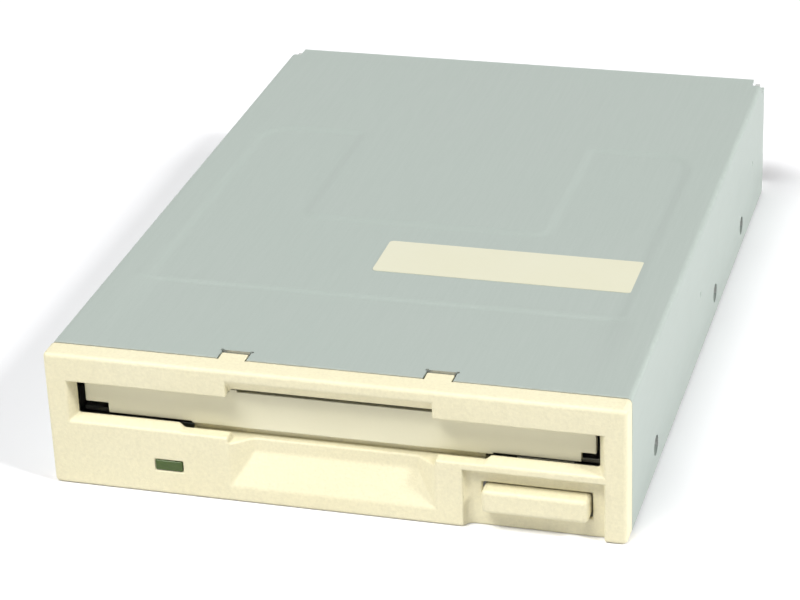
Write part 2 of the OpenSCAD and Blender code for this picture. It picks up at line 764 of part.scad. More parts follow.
module front_bezel() {
  ear_end = half_w - bezel_rim + eps;
  ear_half = 1.6;
  ear_gap = 0.2;
  bore_l = 1.1;
  block_w = scoop_w + 1;
  block_end = scoop_depth + 1.2;
  shelf_l = 4.6;
  shelf_half = lip_gap_w / 2 - 1;
  clip = [wall_in - 1.2, wall_in - 0.1];
  clip_end = clip_slot_d[1] - 2 * clip_play;
  clip_z = [clip_slot_z[0] + clip_play, clip_slot_z[1] - clip_play];
  barb = 0.6;
  tab_drop = 0.5;
  color(cream) from_face() difference() {
    union() {
      difference() {
        soft_block(drive_w, bezel_d, drive_h, bezel_edge_r);
        block([bezel_rim - half_w, bezel_wall, bezel_rim],
          [half_w - bezel_rim, bezel_d + over, drive_h - bezel_rim]);
      }
      block([-block_w / 2, bezel_wall - eps, bezel_rim - eps], [block_w / 2, block_end, scoop_ledge]);
      block([-shelf_half, bezel_wall - eps, plate_top + part_gap],
        [shelf_half, scoop_depth + shelf_l, scoop_ledge]);
      both_sides() {
        block([ear_bore_x, bezel_wall - eps, flap_axis_z - ear_half],
          [ear_end, bezel_d, flap_axis_z + ear_half]);
        block([ear_bore_x, bezel_d - eps, flap_axis_z - ear_half],
          [wall_in - ear_gap, flap_axis_d + ear_half, flap_axis_z + ear_half]);
        block([tab_x - tab_w / 2, bezel_d - eps, drive_h - bezel_rim],
          [tab_x + tab_w / 2, bezel_d + tab_l, drive_h - tab_drop]);
        block([clip[0], bezel_wall - eps, clip_z[0]], [clip[1], clip_end, clip_z[1]]);
        block([clip[0], clip_slot_d[0] + clip_play, clip_z[0]], [wall_in + barb, clip_end, clip_z[1]]);
      }
    }
    slot_cut();
    scoop_cut();
    pocket_cut();
    block([button_x - button_w / 2 - button_gap, -over, button_z - button_gap],
      [button_x + button_w / 2 + button_gap, bezel_wall + over, button_z + button_h + button_gap]);
    block([lamp_x - lamp_w / 2, -over, lamp_z - lamp_h / 2],
      [lamp_x + lamp_w / 2, bezel_wall + over, lamp_z + lamp_h / 2]);
    both_sides() translate([0, flap_axis_d, flap_axis_z])
      rod_across(flap_pin_r + run_gap, ear_bore_x - over, ear_bore_x + bore_l);
  }
}

module eject_button() {
  cap_d = tab_front + button_proud;
  peg_l = plate_t + 1;
  color(cream) from_face() {
    translate([button_x, -button_proud, button_z]) soft_block(button_w, cap_d, button_h, bezel_edge_r);
    translate([button_x, 0, button_z + button_h / 2])
      rod_inward(button_peg_r, tab_front - eps, tab_front + peg_l);
  }
}

module led_lamp() {
  fit = 0.05;
  rim = 1.3;
  rim_end = bezel_d - 0.4;
  color(lens_green) from_face() {
    block([lamp_x - lamp_w / 2 + fit, 0, lamp_z - lamp_h / 2 + fit],
      [lamp_x + lamp_w / 2 - fit, bezel_wall + eps, lamp_z + lamp_h / 2 - fit]);
    block([lamp_x - lamp_w / 2 - rim, bezel_wall, lamp_z - lamp_h / 2 - rim],
      [lamp_x + lamp_w / 2 + rim, rim_end, lamp_z + lamp_h / 2 + rim]);
    translate([lamp_x, 0, lamp_z]) rod_inward(lamp_body_r, rim_end - eps, lamp_end);
  }
}

module led_leads() {
  lead = 0.5;
  spread = 1.15;
  lead_end = motor_board_front + 1.2;
  color(steel) from_face() for (x = [-spread, spread]) translate([lamp_x + x, 0, 0]) {
    block([-lead / 2, lamp_end, lamp_z - lead / 2], [lead / 2, lead_end, lamp_z + lead / 2]);
    block([-lead / 2, lead_end - lead, lamp_z], [lead / 2, lead_end, motor_board_z]);
  }
}

module dust_flap() {
  foot_left = [4.1 - flap_w / 2, flap_low + 1.9];
  foot_right = [flap_w / 2 - 2.55, flap_low + 1.8];
  skirt_x = [1.25 - lip_gap_w / 2, lip_gap_w / 2 + 0.5];
  skirt_low = max(flap_low - part_gap, scoop_ledge + part_gap);
  relief = [brow_w / 2 - 0.8, flap_high - 0.4];
  barrel = 0.2;
  pin_l = 1;
  room = [flap_face - over, flap_axis_d + 2 * flap_pin_r];
  color(cream_grey) from_face() difference() {
    union() {
      block([-flap_w / 2, flap_face, flap_low], [flap_w / 2, flap_face + flap_t, flap_high]);
      block([skirt_x[0], flap_face, skirt_low], [skirt_x[1], flap_face + flap_t, flap_low + eps]);
      translate([0, flap_axis_d, flap_axis_z]) {
        rod_across(flap_pin_r + barrel, -flap_w / 2, flap_w / 2);
        rod_across(flap_pin_r, -ear_bore_x - pin_l, ear_bore_x + pin_l);
      }
    }
    block([-half_w, room[0], 0], [foot_left[0], room[1], foot_left[1]]);
    block([foot_right[0], room[0], 0], [half_w, room[1], foot_right[1]]);
    block([-relief[0], room[0], relief[1]], [relief[0], room[1], drive_h]);
  }
}

module flap_spring() {
  wire_r = 0.15;
  coil_r = flap_pin_r + 0.45;
  curls = 2;
  coil_l = 1.6;
  leg = 2;
  end_gap = 0.5;
  coil = helix(coil_r, coil_l, curls);
  points = concat([coil[0] - [0, leg, 0]], coil, [coil[len(coil) - 1] + [0, leg, 0]]);
  echo(str("flap spring least gap ", least_gap(coil, wire_r)));
  color(steel) from_face() translate([-flap_w / 2 - end_gap, flap_axis_d, flap_axis_z])
    rotate([0, -90, 0]) rotate(90) wire(points, wire_r);
}

// Eject mechanism

module eject_plate() {
  catch_w = 5;
  ear_rise = 3;
  color(zinc) from_face() difference() {
    union() {
      block([-flange_out, plate_front, plate_z], [flange_out, plate_front + bar_w, plate_top]);
      translate([button_x, 0, 0]) {
        block([-button_tab_w / 2, tab_front, plate_z], [button_tab_w / 2, plate_front + eps, plate_top]);
        block([-button_tab_w / 2, tab_front, button_z], [button_tab_w / 2, tab_front + plate_t, plate_top]);
      }
      both_sides() {
        block([rail_in, plate_front, plate_z], [flange_out, rail_end, plate_top]);
        for (d = pins) block([flange_in, d - ear_ahead, plate_z],
          [flange_out, d + eject_travel + ear_behind, pin_z + ear_rise]);
        block([spring_x - hook_half, spring_rear, plate_z],
          [rail_in + eps, spring_rear + catch_w, plate_top]);
        block([spring_x - hook_half, spring_rear, plate_z],
          [spring_x + hook_half, spring_rear + hook_t, hook_top]);
      }
    }
    both_sides() {
      for (d = pins) across(flange_in - over, flange_out + over)
        slot_outline([d, pin_z], [d + eject_travel, pin_z - holder_drop], pin_slot_r);
      for (d = studs) upward(plate_z - over, plate_top + part_gap / 2)
        slot_outline([stud_x, d], [stud_x, d + eject_travel], guide_stud_r + part_gap);
    }
    translate([button_x, 0, button_z + button_h / 2])
      rod_inward(button_peg_r, tab_front - over, tab_front + plate_t + over);
  }
}

module eject_springs() {
  wire_r = 0.2;
  coil_r = 1.2;
  curls = 14;
  lead = 0.6;
  gap = 0.1;
  coil_l = spring_rear - spring_front - 2 * (lead + gap);
  coil = [for (p = helix(coil_r, coil_l, curls)) p + [0, 0, lead]];
  points = concat([coil[0] - [0, 0, lead]], coil, [coil[len(coil) - 1] + [0, 0, lead]]);
  echo(str("eject spring least gap ", least_gap(coil, wire_r)));
  color(steel) from_face() both_sides() translate([spring_x, spring_front + gap, spring_z])
    rotate([-90, 0, 0]) wire(points, wire_r);
}

module disk_holder() {
  stop_x = [holder_in - 25.9, holder_in - 10.9];
  finger = [-16.5, -12];
  finger_end = pivot_d - 14;
  window_r = 3;
  strip_x = [holder_in - 19.9, holder_in - 11.9];
  strip_d = [30, spindle_d + 7];
  strip_cut = 1;
  thumb = [22, 5];
  color(zinc) from_face() difference() {
    union() {
      block([-holder_out, holder_front, ceiling], [holder_out, holder_rear, holder_top]);
      block([finger[0], holder_rear - eps, ceiling], [finger[1], finger_end, holder_top]);
      both_sides() {
        block([holder_in, holder_front, lip_low], [holder_out, holder_rear, holder_top]);
        block([holder_in - holder_lip, holder_front, lip_low], [holder_out, holder_rear, lip_top]);
        block([stop_x[0], stop_d, lip_top], [stop_x[1], stop_d + holder_t, holder_top]);
      }
    }
    upward(ceiling - over, holder_top + over) {
      translate([-window_w / 2, window_front]) round_rect(window_w, holder_rear, window_r);
      both_sides() {
        for (x = strip_x) translate([x, strip_d[0]]) square([strip_cut, strip_d[1] - strip_d[0]]);
        translate([strip_x[0], strip_d[1] - strip_cut])
          square([strip_x[1] - strip_x[0] + strip_cut, strip_cut]);
      }
      translate([0, thumb[0]]) circle(thumb[1]);
      lever_arc();
      translate([lever_x, lever_d]) circle(lever_stud_r);
    }
    both_sides() for (d = pins) translate([0, d, pin_z])
      rod_across(pin_r, holder_in - over, holder_out + over);
  }
}

// Slot in the holder's top that the latch pin sweeps through
module lever_arc() {
  half = lever_pin_r + 0.5;
  spare = 4;
  reach = 2 * lever_l;
  translate([lever_x, lever_d]) intersection() {
    difference() {
      circle(lever_l + half);
      circle(lever_l - half);
    }
    polygon(concat([[0, 0]], [for (a = [-spare:lever_swing / 2 + spare:lever_swing + spare])
      reach * [cos(a), sin(a)]]));
  }
}

module holder_pins() {
  color(steel) from_face() both_sides() for (d = pins) translate([0, d, pin_z])
    rod_across(pin_r, holder_in, pin_end);
}

module latch_stud() {
  head_z = lever_z + lever_t + 2.1;
  head_r = lever_stud_r + 1;
  head_h = 0.5;
  color(steel) from_face() translate([lever_x, lever_d, 0]) {
    rod_up(lever_stud_r, ceiling, head_z + eps);
    rod_up(head_r, head_z, head_z + head_h);
  }
}

module latch_lever() {
  boss_r = 4;
  tip_r = 2.4;
  web_w = 3.6;
  heel = [150, 6];
  color(zinc) from_face() translate([lever_x, lever_d, 0]) upward(lever_z, lever_z + lever_t) difference() {
    union() {
      circle(boss_r);
      translate([0, -web_w / 2]) square([lever_l, web_w]);
      translate([lever_l, 0]) circle(tip_r);
      rotate(heel[0]) translate([0, -web_w / 2]) square([heel[1], web_w]);
    }
    circle(lever_stud_r + run_gap);
    translate([lever_l, 0]) circle(lever_pin_r);
  }
}

module latch_pin() {
  color(steel) from_face() translate([lever_x + lever_l, lever_d, 0])
    rod_up(lever_pin_r, lip_top + part_gap, lever_z + lever_t);
}

module latch_spring() {
  wire_r = 0.2;
  coil_r = lever_stud_r + 0.6;
  curls = 2;
  coil_l = 1.65;
  leg = 3;
  lever_gap = 0.22;
  coil = helix(coil_r, coil_l, curls);
  points = concat([coil[0] - [0, leg, 0]], coil, [coil[len(coil) - 1] + [0, leg, 0]]);
  echo(str("latch spring least gap ", least_gap(coil, wire_r)));
  color(steel) from_face() translate([lever_x, lever_d, lever_z + lever_t + lever_gap])
    wire(points, wire_r);
}

// Spindle motor

module spindle_shaft() {
  point = 0.5;
  tip = hub_z + 2.2;
  color(steel) from_face() translate([0, spindle_d, 0]) rotate_extrude()
    polygon([[0, rotor_z], [shaft_r, rotor_z], [shaft_r, tip - point], [shaft_r - point, tip], [0, tip]]);
}

module rotor_cup() {
  vent_r = 3;
  vent_at = rotor_r * 0.55;
  color(zinc) from_face() translate([0, spindle_d, 0]) difference() {
    rod_up(rotor_r, rotor_z, rotor_z + rotor_h);
    rod_up(rotor_r - rotor_t, rotor_z + rotor_t, rotor_z + rotor_h + over);
    rod_up(shaft_r, 0, rotor_z + rotor_h);
    for (a = [0:60:300]) rotate(a) translate([vent_at, 0]) rod_up(vent_r, 0, rotor_z + rotor_h);
  }
}

module rotor_magnet() {
  rim = 0.2;
  color(ferrite) from_face() translate([0, spindle_d, 0]) difference() {
    rod_up(rotor_r - rotor_t, rotor_z + rotor_t, rotor_z + rotor_h - rim);
    rod_up(rotor_r - rotor_t - magnet_t, rotor_z, rotor_z + rotor_h);
  }
}

module hub_table() {
  rim = 1.6;
  step = 0.3;
  color(zinc) from_face() translate([0, spindle_d, 0]) difference() {
    union() {
      rod_up(hub_r, hub_z - hub_t, hub_z - step);
      rod_up(hub_r - rim, hub_z - hub_t, hub_z);
    }
    rod_up(shaft_r, 0, hub_z + over);
    translate([drive_pin_x, 0]) rod_up(drive_pin_r, 0, hub_z + over);
  }
}

module drive_pin() {
  proud = 1.8;
  color(steel) from_face() translate([drive_pin_x, spindle_d, 0])
    rod_up(drive_pin_r, hub_z - hub_t, hub_z + proud);
}

module spindle_bearing() {
  hole_play = 0.1;
  color(gold) from_face() translate([0, spindle_d, 0]) difference() {
    union() {
      rod_up(bearing_r, bearing_low, bearing_top);
      rod_up(bearing_flange_r, deck_top, deck_top + bearing_flange_t);
    }
    rod_up(shaft_r + run_gap, 0, hub_z);
    for (a = bearing_screw_turns) rotate(a) translate([bearing_screw_r, 0])
      rod_up(screw_r2 + hole_play, deck_z, deck_top + bearing_flange_t + over);
  }
}

module stator_core() {
  hub_ring = 3;
  fit = 0.05;
  shoe_l = 1.4;
  shoe_w = stator_r * 0.32;
  color(steel) from_face() translate([0, spindle_d, 0]) upward(core_z, core_z + core_t) difference() {
    union() {
      circle(bearing_r + hub_ring);
      for (i = [1:pole_count]) rotate(360 * i / pole_count) {
        translate([bearing_r + hub_ring - over, -pole_w / 2])
          square([stator_r - bearing_r - hub_ring + over - shoe_l / 2, pole_w]);
        translate([stator_r - shoe_l, -shoe_w / 2]) square([shoe_l, shoe_w]);
      }
    }
    circle(bearing_r + fit);
  }
}

module stator_coils() {
  flank = 1.1;
  start = bearing_r + 4.2;
  end = stator_r - 2.2;
  color(copper) from_face() translate([0, spindle_d, core_z]) for (i = [1:pole_count])
    rotate(360 * i / pole_count) across(start, end) difference() {
      translate([-pole_w / 2 - flank, -wind_t]) round_rect(pole_w + 2 * flank, core_t + 2 * wind_t, wind_t);
      translate([-pole_w / 2, 0]) square([pole_w, core_t]);
    }
}

module motor_board() {
  corner = 3;
  bearing_play = 0.2;
  color(board_brown) from_face() upward(motor_board_z, motor_board_z + motor_board_t) difference() {
    translate([-motor_board_w / 2, motor_board_front]) round_rect(motor_board_w, motor_board_l, corner);
    translate([0, spindle_d]) circle(bearing_r + bearing_play);
    for (p = motor_screw_spots) translate(p) circle(screw_r3 + screw_play);
  }
}

module motor_screws() {
  head_h = 1;
  length = 2.4;
  color(steel) from_face() for (p = motor_screw_spots) translate([p[0], p[1], motor_board_z])
    mirror([0, 0, 1]) screw_down(screw_r3, screw_head_r3, head_h, 0, length);
}

module bearing_screws() {
  head_r = 1.7;
  head_h = 0.7;
  length = 2.2;
  color(steel) from_face() translate([0, spindle_d, 0]) for (a = bearing_screw_turns) rotate(a)
    translate([bearing_screw_r, 0]) screw_down(screw_r2, head_r, head_h, deck_top + bearing_flange_t, length);
}

module index_sensor() {
  half = 2;
  length = 3;
  height = 1.2;
  rear = spindle_d - rotor_r - 1.5;
  color(dark_plastic) from_face()
    block([-half, rear - length, motor_board_z - height], [half, rear, motor_board_z]);
}

module motor_ribbon() {
  ribbon_t = 0.3;
  lean = ribbon_t / 2;
  span_x = [motor_board_w / 2 - 22, motor_board_w / 2 - 8];
  low_d = [board_front + 2.5, board_front + 9];
  high_d = [motor_board_front + motor_board_l - 6, motor_board_front + motor_board_l + 0.3];
  color(dark_plastic) from_face() across(span_x[0], span_x[1]) polygon([
    [high_d[0], motor_board_z - ribbon_t], [high_d[1], motor_board_z - ribbon_t], [low_d[0], board_top],
    [low_d[1], board_top], [low_d[1], board_top + ribbon_t], [low_d[0] + lean, board_top + ribbon_t],
    [high_d[1] + lean, motor_board_z], [high_d[0], motor_board_z]]);
}

// Heads and their positioner

module head_carriage() {
  slider_top = rod_z + rod_r + 2;
  body_top = carriage_z + 4.1;
  arm_half = 6;
  arm_root = arm_half + 2;
  arm_nose = arm_half - 1.5;
  arm_neck = head_d + 8;
  arm_tip = head_d - 5;
  finger_end = screw_x - screw_r - 2 * part_gap;
  finger_d = [follower_d - 1.5, follower_d + 1.5];
  finger_z = [screw_z - 2.5, screw_z + 1.4];
  post_x = [8, 14];
  flag_d = [pivot_d - 4.5, pivot_d + 1.5];
  flag_low = board_top + 1.2;
  ear_front = pivot_d - 2;
  ear_top = pivot_z + 1.7;
  color(steel) from_face() difference() {
    union() {
      block([rod_x - slider_half, slider_front, carriage_z], [rod_x + slider_half, slider_rear, slider_top]);
      block([rod_x, slider_front, carriage_z], [follower_root, slider_rear, body_top]);
      upward(carriage_z, carriage_z + arm_t) polygon([[-arm_root, slider_front + over],
        [arm_root, slider_front + over], [arm_half, arm_neck], [arm_nose, arm_tip], [-arm_nose, arm_tip],
        [-arm_half, arm_neck]]);
      block([post_x[0], finger_d[0], carriage_z], [post_x[1], finger_d[1], finger_z[1]]);
      block([post_x[0], finger_d[0], finger_z[0]], [finger_end, finger_d[1], finger_z[1]]);
      block([flag_x - flag_t / 2, flag_d[0], flag_low], [flag_x + flag_t / 2, flag_d[1], carriage_z + over]);
      for (x = [-ear_x - ear_t, ear_x])
        block([x, ear_front, carriage_z], [x + ear_t, slider_rear, ear_top]);
    }
    translate([rod_x, 0, rod_z]) rod_inward(rod_r + run_gap, slider_front - over, slider_rear + over);
    translate([0, pivot_d, pivot_z]) rod_across(hinge_pin_r, -ear_x - ear_t - over, ear_x + ear_t + over);
    translate([0, follower_d, screw_z]) rod_across(follower_r, follower_root, finger_end + over);
  }
}

module lower_head() {
  seat = 4;
  seat_t = 0.5;
  seat_z = carriage_z + arm_t;
  color(dark_plastic) from_face() {
    block([-seat, head_d - seat, seat_z], [seat, head_d + seat, seat_z + seat_t]);
    block([-head_half, head_d - head_half, seat_z], [head_half, head_d + head_half, lower_head_top]);
  }
}

module follower_pin() {
  color(gold) from_face() translate([0, follower_d, screw_z])
    rod_across(follower_r, follower_root, screw_x - screw_r - part_gap);
}

module arm_hinge_pin() {
  color(steel) from_face() translate([0, pivot_d, pivot_z])
    rod_across(hinge_pin_r, -ear_x - ear_t, ear_x + ear_t);
}

module arm_spring() {
  wire_r = 0.2;
  coil_r = hinge_pin_r + 0.6;
  curls = 3;
  coil_l = 2.7;
  leg = 3;
  spring_at = 5.6;
  leg_turn = 200;
  coil = helix(coil_r, coil_l, curls);
  points = concat([coil[0] - [0, leg, 0]], coil, [coil[len(coil) - 1] + [0, leg, 0]]);
  echo(str("arm spring least gap ", least_gap(coil, wire_r)));
  color(steel) from_face() translate([spring_at, pivot_d, pivot_z])
    rotate([0, 90, 0]) rotate(leg_turn) wire(points, wire_r);
}

// Turns children, modelled as with a disk in, up to the lifted rest position
module lifted() {
  translate([0, pivot_d, pivot_z]) rotate([-arm_lift, 0, 0]) translate([0, -pivot_d, -pivot_z]) children();
}

module head_arm() {
  arm_half = 5;
  nose_half = 4;
  neck = head_d + 10;
  nose = head_d - 4.5;
  rib_t = 0.8;
  rib_h = 2.2;
  rib_d = [head_d + 8, pivot_d - 4];
  barrel = [-ear_x + part_gap, 4.8];
  root = barrel[1] + 2;
  lug_reach = holder_drop / sin(arm_lift);
  lug_d = pivot_d - lug_reach;
  lug_half = 0.8;
  lug_x = -15.5;
  lug_low = holder_top - holder_drop + part_gap;
  lug_t = 1;
  color(steel) from_face() lifted() difference() {
    union() {
      upward(upper_arm_z, upper_arm_z + upper_arm_t) polygon([[-root, pivot_d], [barrel[1], pivot_d],
        [arm_half, neck], [nose_half, nose], [-nose_half, nose], [-arm_half, neck]]);
      for (x = [-arm_half, arm_half - rib_t])
        block([x, rib_d[0], upper_arm_z], [x + rib_t, rib_d[1], upper_arm_z + rib_h]);
      translate([0, pivot_d, pivot_z]) rod_across(barrel_r, barrel[0], barrel[1]);
      block([lug_x, lug_d - lug_half, lug_low], [rib_t - arm_half, lug_d + lug_half, lug_low + lug_t]);
    }
    translate([0, pivot_d, pivot_z]) rod_across(hinge_pin_r + run_gap, barrel[0] - over, barrel[1] + over);
  }
}

module upper_head() {
  seat = [3.8, 4];
  seat_low = upper_arm_z - 0.5;
  color(dark_plastic) from_face() lifted() {
    block([-head_half, head_d - head_half, upper_head_low], [head_half, head_d + head_half, upper_arm_z]);
    block([-seat[0], head_d - seat[1], seat_low], [seat[0], head_d + seat[1], upper_arm_z]);
  }
}

module lead_screw() {
  thread = [bracket_front + bracket_t + part_gap, bracket_rear + bracket_t + 1.6];
  color(steel) from_face() translate([screw_x, 0, screw_z]) {
    rod_inward(journal_r, bracket_front, thread[0] + eps);
    rod_inward(screw_r, thread[0], thread[1]);
    rod_inward(journal_r, thread[1] - eps, stepper_front + stepper_l - cap_t - bush_t / 3);
  }
}

module stepper_rotor() {
  rim = 2.4;
  span = [stepper_front + 2.4, stepper_front + stepper_l - 2];
  color(ferrite) from_face() translate([screw_x, 0, screw_z]) difference() {
    rod_inward(stepper_r - rim, span[0], span[1]);
    rod_inward(journal_r, stepper_front, stepper_front + stepper_l);
  }
}

module stepper_case() {
  shell = 1.8;
  lip_r = 0.5;
  face_t = 1;
  bore = screw_r + part_gap;
  bush = journal_r + run_gap;
  inner = stepper_r - shell;
  cap = stepper_l - cap_t;
  color(steel) from_face() translate([screw_x, stepper_front, screw_z]) rotate([-90, 0, 0])
    rotate_extrude() polygon([[bore, 0], [stepper_r, 0], [stepper_r, stepper_l - lip_r],
      [stepper_r - lip_r, stepper_l], [0, stepper_l], [0, cap], [bush, cap], [bush, cap - bush_t],
      [inner, cap - bush_t], [inner, face_t], [bore, face_t]]);
}

module stepper_bracket() {
  plate_top_z = screw_z + 5.5;
  ear_top_z = screw_z + 2.6;
  ear_w = 10;
  hole_play = 0.2;
  color(zinc) from_face() difference() {
    union() {
      block([bracket_x0, bracket_front, bracket_low],
        [bracket_x1, bracket_rear + bracket_t, bracket_low + bracket_base_t]);
      block([bracket_x0, bracket_rear, bracket_low], [bracket_x1, bracket_rear + bracket_t, plate_top_z]);
      block([bracket_x0, bracket_front, bracket_low],
        [bracket_x0 + ear_w, bracket_front + bracket_t, ear_top_z]);
    }
    translate([screw_x, 0, screw_z]) {
      rod_inward(journal_r + run_gap, bracket_front - over, bracket_front + bracket_t + over);
      rod_inward(screw_r + part_gap, bracket_rear - over, bracket_rear + bracket_t + over);
    }
    for (p = bracket_screw_spots) translate(p)
      rod_up(screw_r3 + hole_play, deck_z, bracket_low + bracket_base_t + over);
  }
}

module bracket_screws() {
  length = 2.6;
  color(steel) from_face() for (p = bracket_screw_spots) translate(p)
    screw_down(screw_r3, screw_head_r3, screw_head_h3, bracket_low + bracket_base_t, length);
}

module guide_rod() {
  color(steel) from_face() translate([rod_x, 0, rod_z]) rod_inward(rod_r, clamp_front, clamp_rear + clamp_t);
}

// Clamp that stands on the deck, its screwed foot beside the rod
module rod_clamp(d) {
  middle = d + clamp_t / 2;
  foot_in = rod_x - slider_half - part_gap;
  hole_play = 0.1;
  difference() {
    union() {
      block([rod_x - clamp_half, d, deck_top], [rod_x + clamp_half, d + clamp_t, clamp_top]);
      block([foot_in - eps, d, deck_top], [rod_x, d + clamp_t, deck_top + clamp_foot_t]);
      block([clamp_screw_x - clamp_foot_half, middle - clamp_foot_half, deck_top],
        [foot_in, middle + clamp_foot_half, deck_top + clamp_foot_t]);
    }
    translate([rod_x, 0, rod_z]) rod_inward(rod_r, d - over, d + clamp_t + over);
    translate([clamp_screw_x, middle, 0])
      rod_up(screw_r2 + hole_play, deck_z, deck_top + clamp_foot_t + over);
  }
}

module rod_clamps() {
  color(zinc) from_face() {
    rod_clamp(clamp_front);
    rod_clamp(clamp_rear);
  }
}

module clamp_screws() {
  length = 2.4;
  color(steel) from_face() for (d = [clamp_front, clamp_rear]) translate([clamp_screw_x, d + clamp_t / 2, 0])
    screw_down(screw_r2, screw_head_r2, screw_head_h2, deck_top + clamp_foot_t, length);
}

module track_zero_sensor() {
  slot = 2.2;
  wall = 2.2;
  half_l = 3;
  floor_t = 0.8;
  height = 4;
  color(dark_plastic) from_face() translate([flag_x, pivot_d, board_top]) difference() {
    block([-slot / 2 - wall, -half_l, 0], [slot / 2 + wall, half_l, height]);
    block([-slot / 2, -half_l - over, floor_t], [slot / 2, half_l + over, height + over]);
  }
}

// Boards, connectors and switches

module main_board() {
  corner = 2;
  color(board_green) from_face() upward(board_z, board_top) difference() {
    translate([-board_hw, board_front]) round_rect(2 * board_hw, board_rear - board_front, corner);
    for (p = board_screw_spots) translate(p) circle(screw_r3 + screw_play);
  }
}

// Packages on the main board, placed from its middle and its front edge
module board_chips() {
  can_r = 2;
  can_h = 3.4;
  side = board_hw - 8.5;
  color(dark_plastic) from_face() translate([0, board_front, board_top]) {
    chip([-20, 23], [14, 14, 2.2]);
    chip([0, 18], [10, 8, 1.8]);
    chip([30, 27], [8, 3.6, 3]);
    chip([-side, 20], [6, 5, 1.6]);
    for (p = [[-side, 44], [side, 44], [side - 6, 16]]) translate(p) rod_up(can_r, 0, can_h);
  }
}

module chip(middle, size) { translate([middle[0] - size[0] / 2, middle[1] - size[1] / 2]) cube(size); }

module board_screws() {
  length = 3.2;
  color(steel) from_face() for (p = board_screw_spots) translate(p)
    screw_down(screw_r3, screw_head_r3, screw_head_h3, board_top, length);
}

// Socket open to the rear, with a back wall in front of its hollow
module socket(x, w, l, h, wall, back) {
  floor_t = wall / 1.6;
  translate([x, drive_d, board_top]) difference() {
    block([-w / 2, -l, 0], [w / 2, 0, h]);
    block([wall - w / 2, back - l, floor_t], [w / 2 - wall, over, h - floor_t]);
  }
}

// Square contacts, bent down to the board in front of the socket
module contacts(x, cols, pitch, rows, l) {
  tip = 2.4;
  for (r = rows, i = [0:cols - 1]) translate([x + (i - (cols - 1) / 2) * pitch, drive_d, 0]) {
    bend = -l - r[1];
    block([-contact / 2, bend, r[0] - contact / 2], [contact / 2, -tip, r[0] + contact / 2]);
    block([-contact / 2, bend, board_top], [contact / 2, bend + contact, r[0] + contact / 2]);
  }
}

module data_connector() {
  key_w = 4.5;
  key_front = drive_d - data_l + 3.5;
  wall = 2.4;
  back = 2.5;
  color(dark_plastic) from_face() difference() {
    socket(data_x, data_w, data_l, data_h, wall, back);
    block([data_x - key_w / 2, key_front, data_z],
      [data_x + key_w / 2, drive_d + over, board_top + data_h + over]);
    contacts(data_x, data_cols, data_pitch, data_rows, data_l);
  }
}

module data_pins() {
  color(gold) from_face() contacts(data_x, data_cols, data_pitch, data_rows, data_l);
}

module power_connector() {
  wall = 1;
  back = 2;
  color(cream) from_face() difference() {
    socket(power_x, power_w, power_l, power_h, wall, back);
    contacts(power_x, power_cols, power_pitch, power_rows, power_l);
  }
}

module power_pins() {
  color(gold) from_face() contacts(power_x, power_cols, power_pitch, power_rows, power_l);
}

module sense_switches() {
  color(dark_plastic) from_face() for (x = [write_x, density_x, disk_x]) translate([x, switch_d, deck_top])
    difference() {
      block([-switch_w / 2, -switch_w / 2, 0], [switch_w / 2, switch_w / 2, switch_h]);
      rod_up(plunger_r + run_gap, switch_floor, switch_h + over);
    }
}

module plunger(x) {
  color(cream) from_face() translate([x, switch_d, 0]) {
    rod_up(plunger_r, plunger_low, plunger_top - plunger_tip + eps);
    translate([0, 0, plunger_top - plunger_tip])
      cylinder(r1 = plunger_r, r2 = plunger_r - plunger_taper, h = plunger_tip);
  }
}

module write_plunger() { plunger(write_x); }
module density_plunger() { plunger(density_x); }
module disk_plunger() { plunger(disk_x); }

chassis();
top_cover();
front_bezel();
led_lamp();
led_leads();
main_board();
board_chips();
data_connector();
data_pins();
power_connector();
power_pins();
motor_board();
motor_ribbon();
stator_core();
stator_coils();
spindle_bearing();
index_sensor();
track_zero_sensor();
sense_switches();
stepper_case();
stepper_bracket();
guide_rod();
rod_clamps();
motor_screws();
bearing_screws();
board_screws();
bracket_screws();
clamp_screws();
eject_springs();
flap_spring();
eject_plate();
eject_button();
disk_holder();
holder_pins();
latch_stud();
latch_spring();
latch_lever();
latch_pin();
dust_flap();
spindle_shaft();
rotor_cup();
rotor_magnet();
hub_table();
drive_pin();
lead_screw();
stepper_rotor();
head_carriage();
lower_head();
follower_pin();
arm_hinge_pin();
arm_spring();
head_arm();
upper_head();
write_plunger();
density_plunger();
disk_plunger();
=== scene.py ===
"""Visual pieces, finishes and stage of a slot-loading disk drive, built around its CAD frame."""

import json
import math

import bmesh
import bpy
from bpy.props import FloatProperty, FloatVectorProperty, IntProperty, PointerProperty
from mathutils import Matrix, Vector


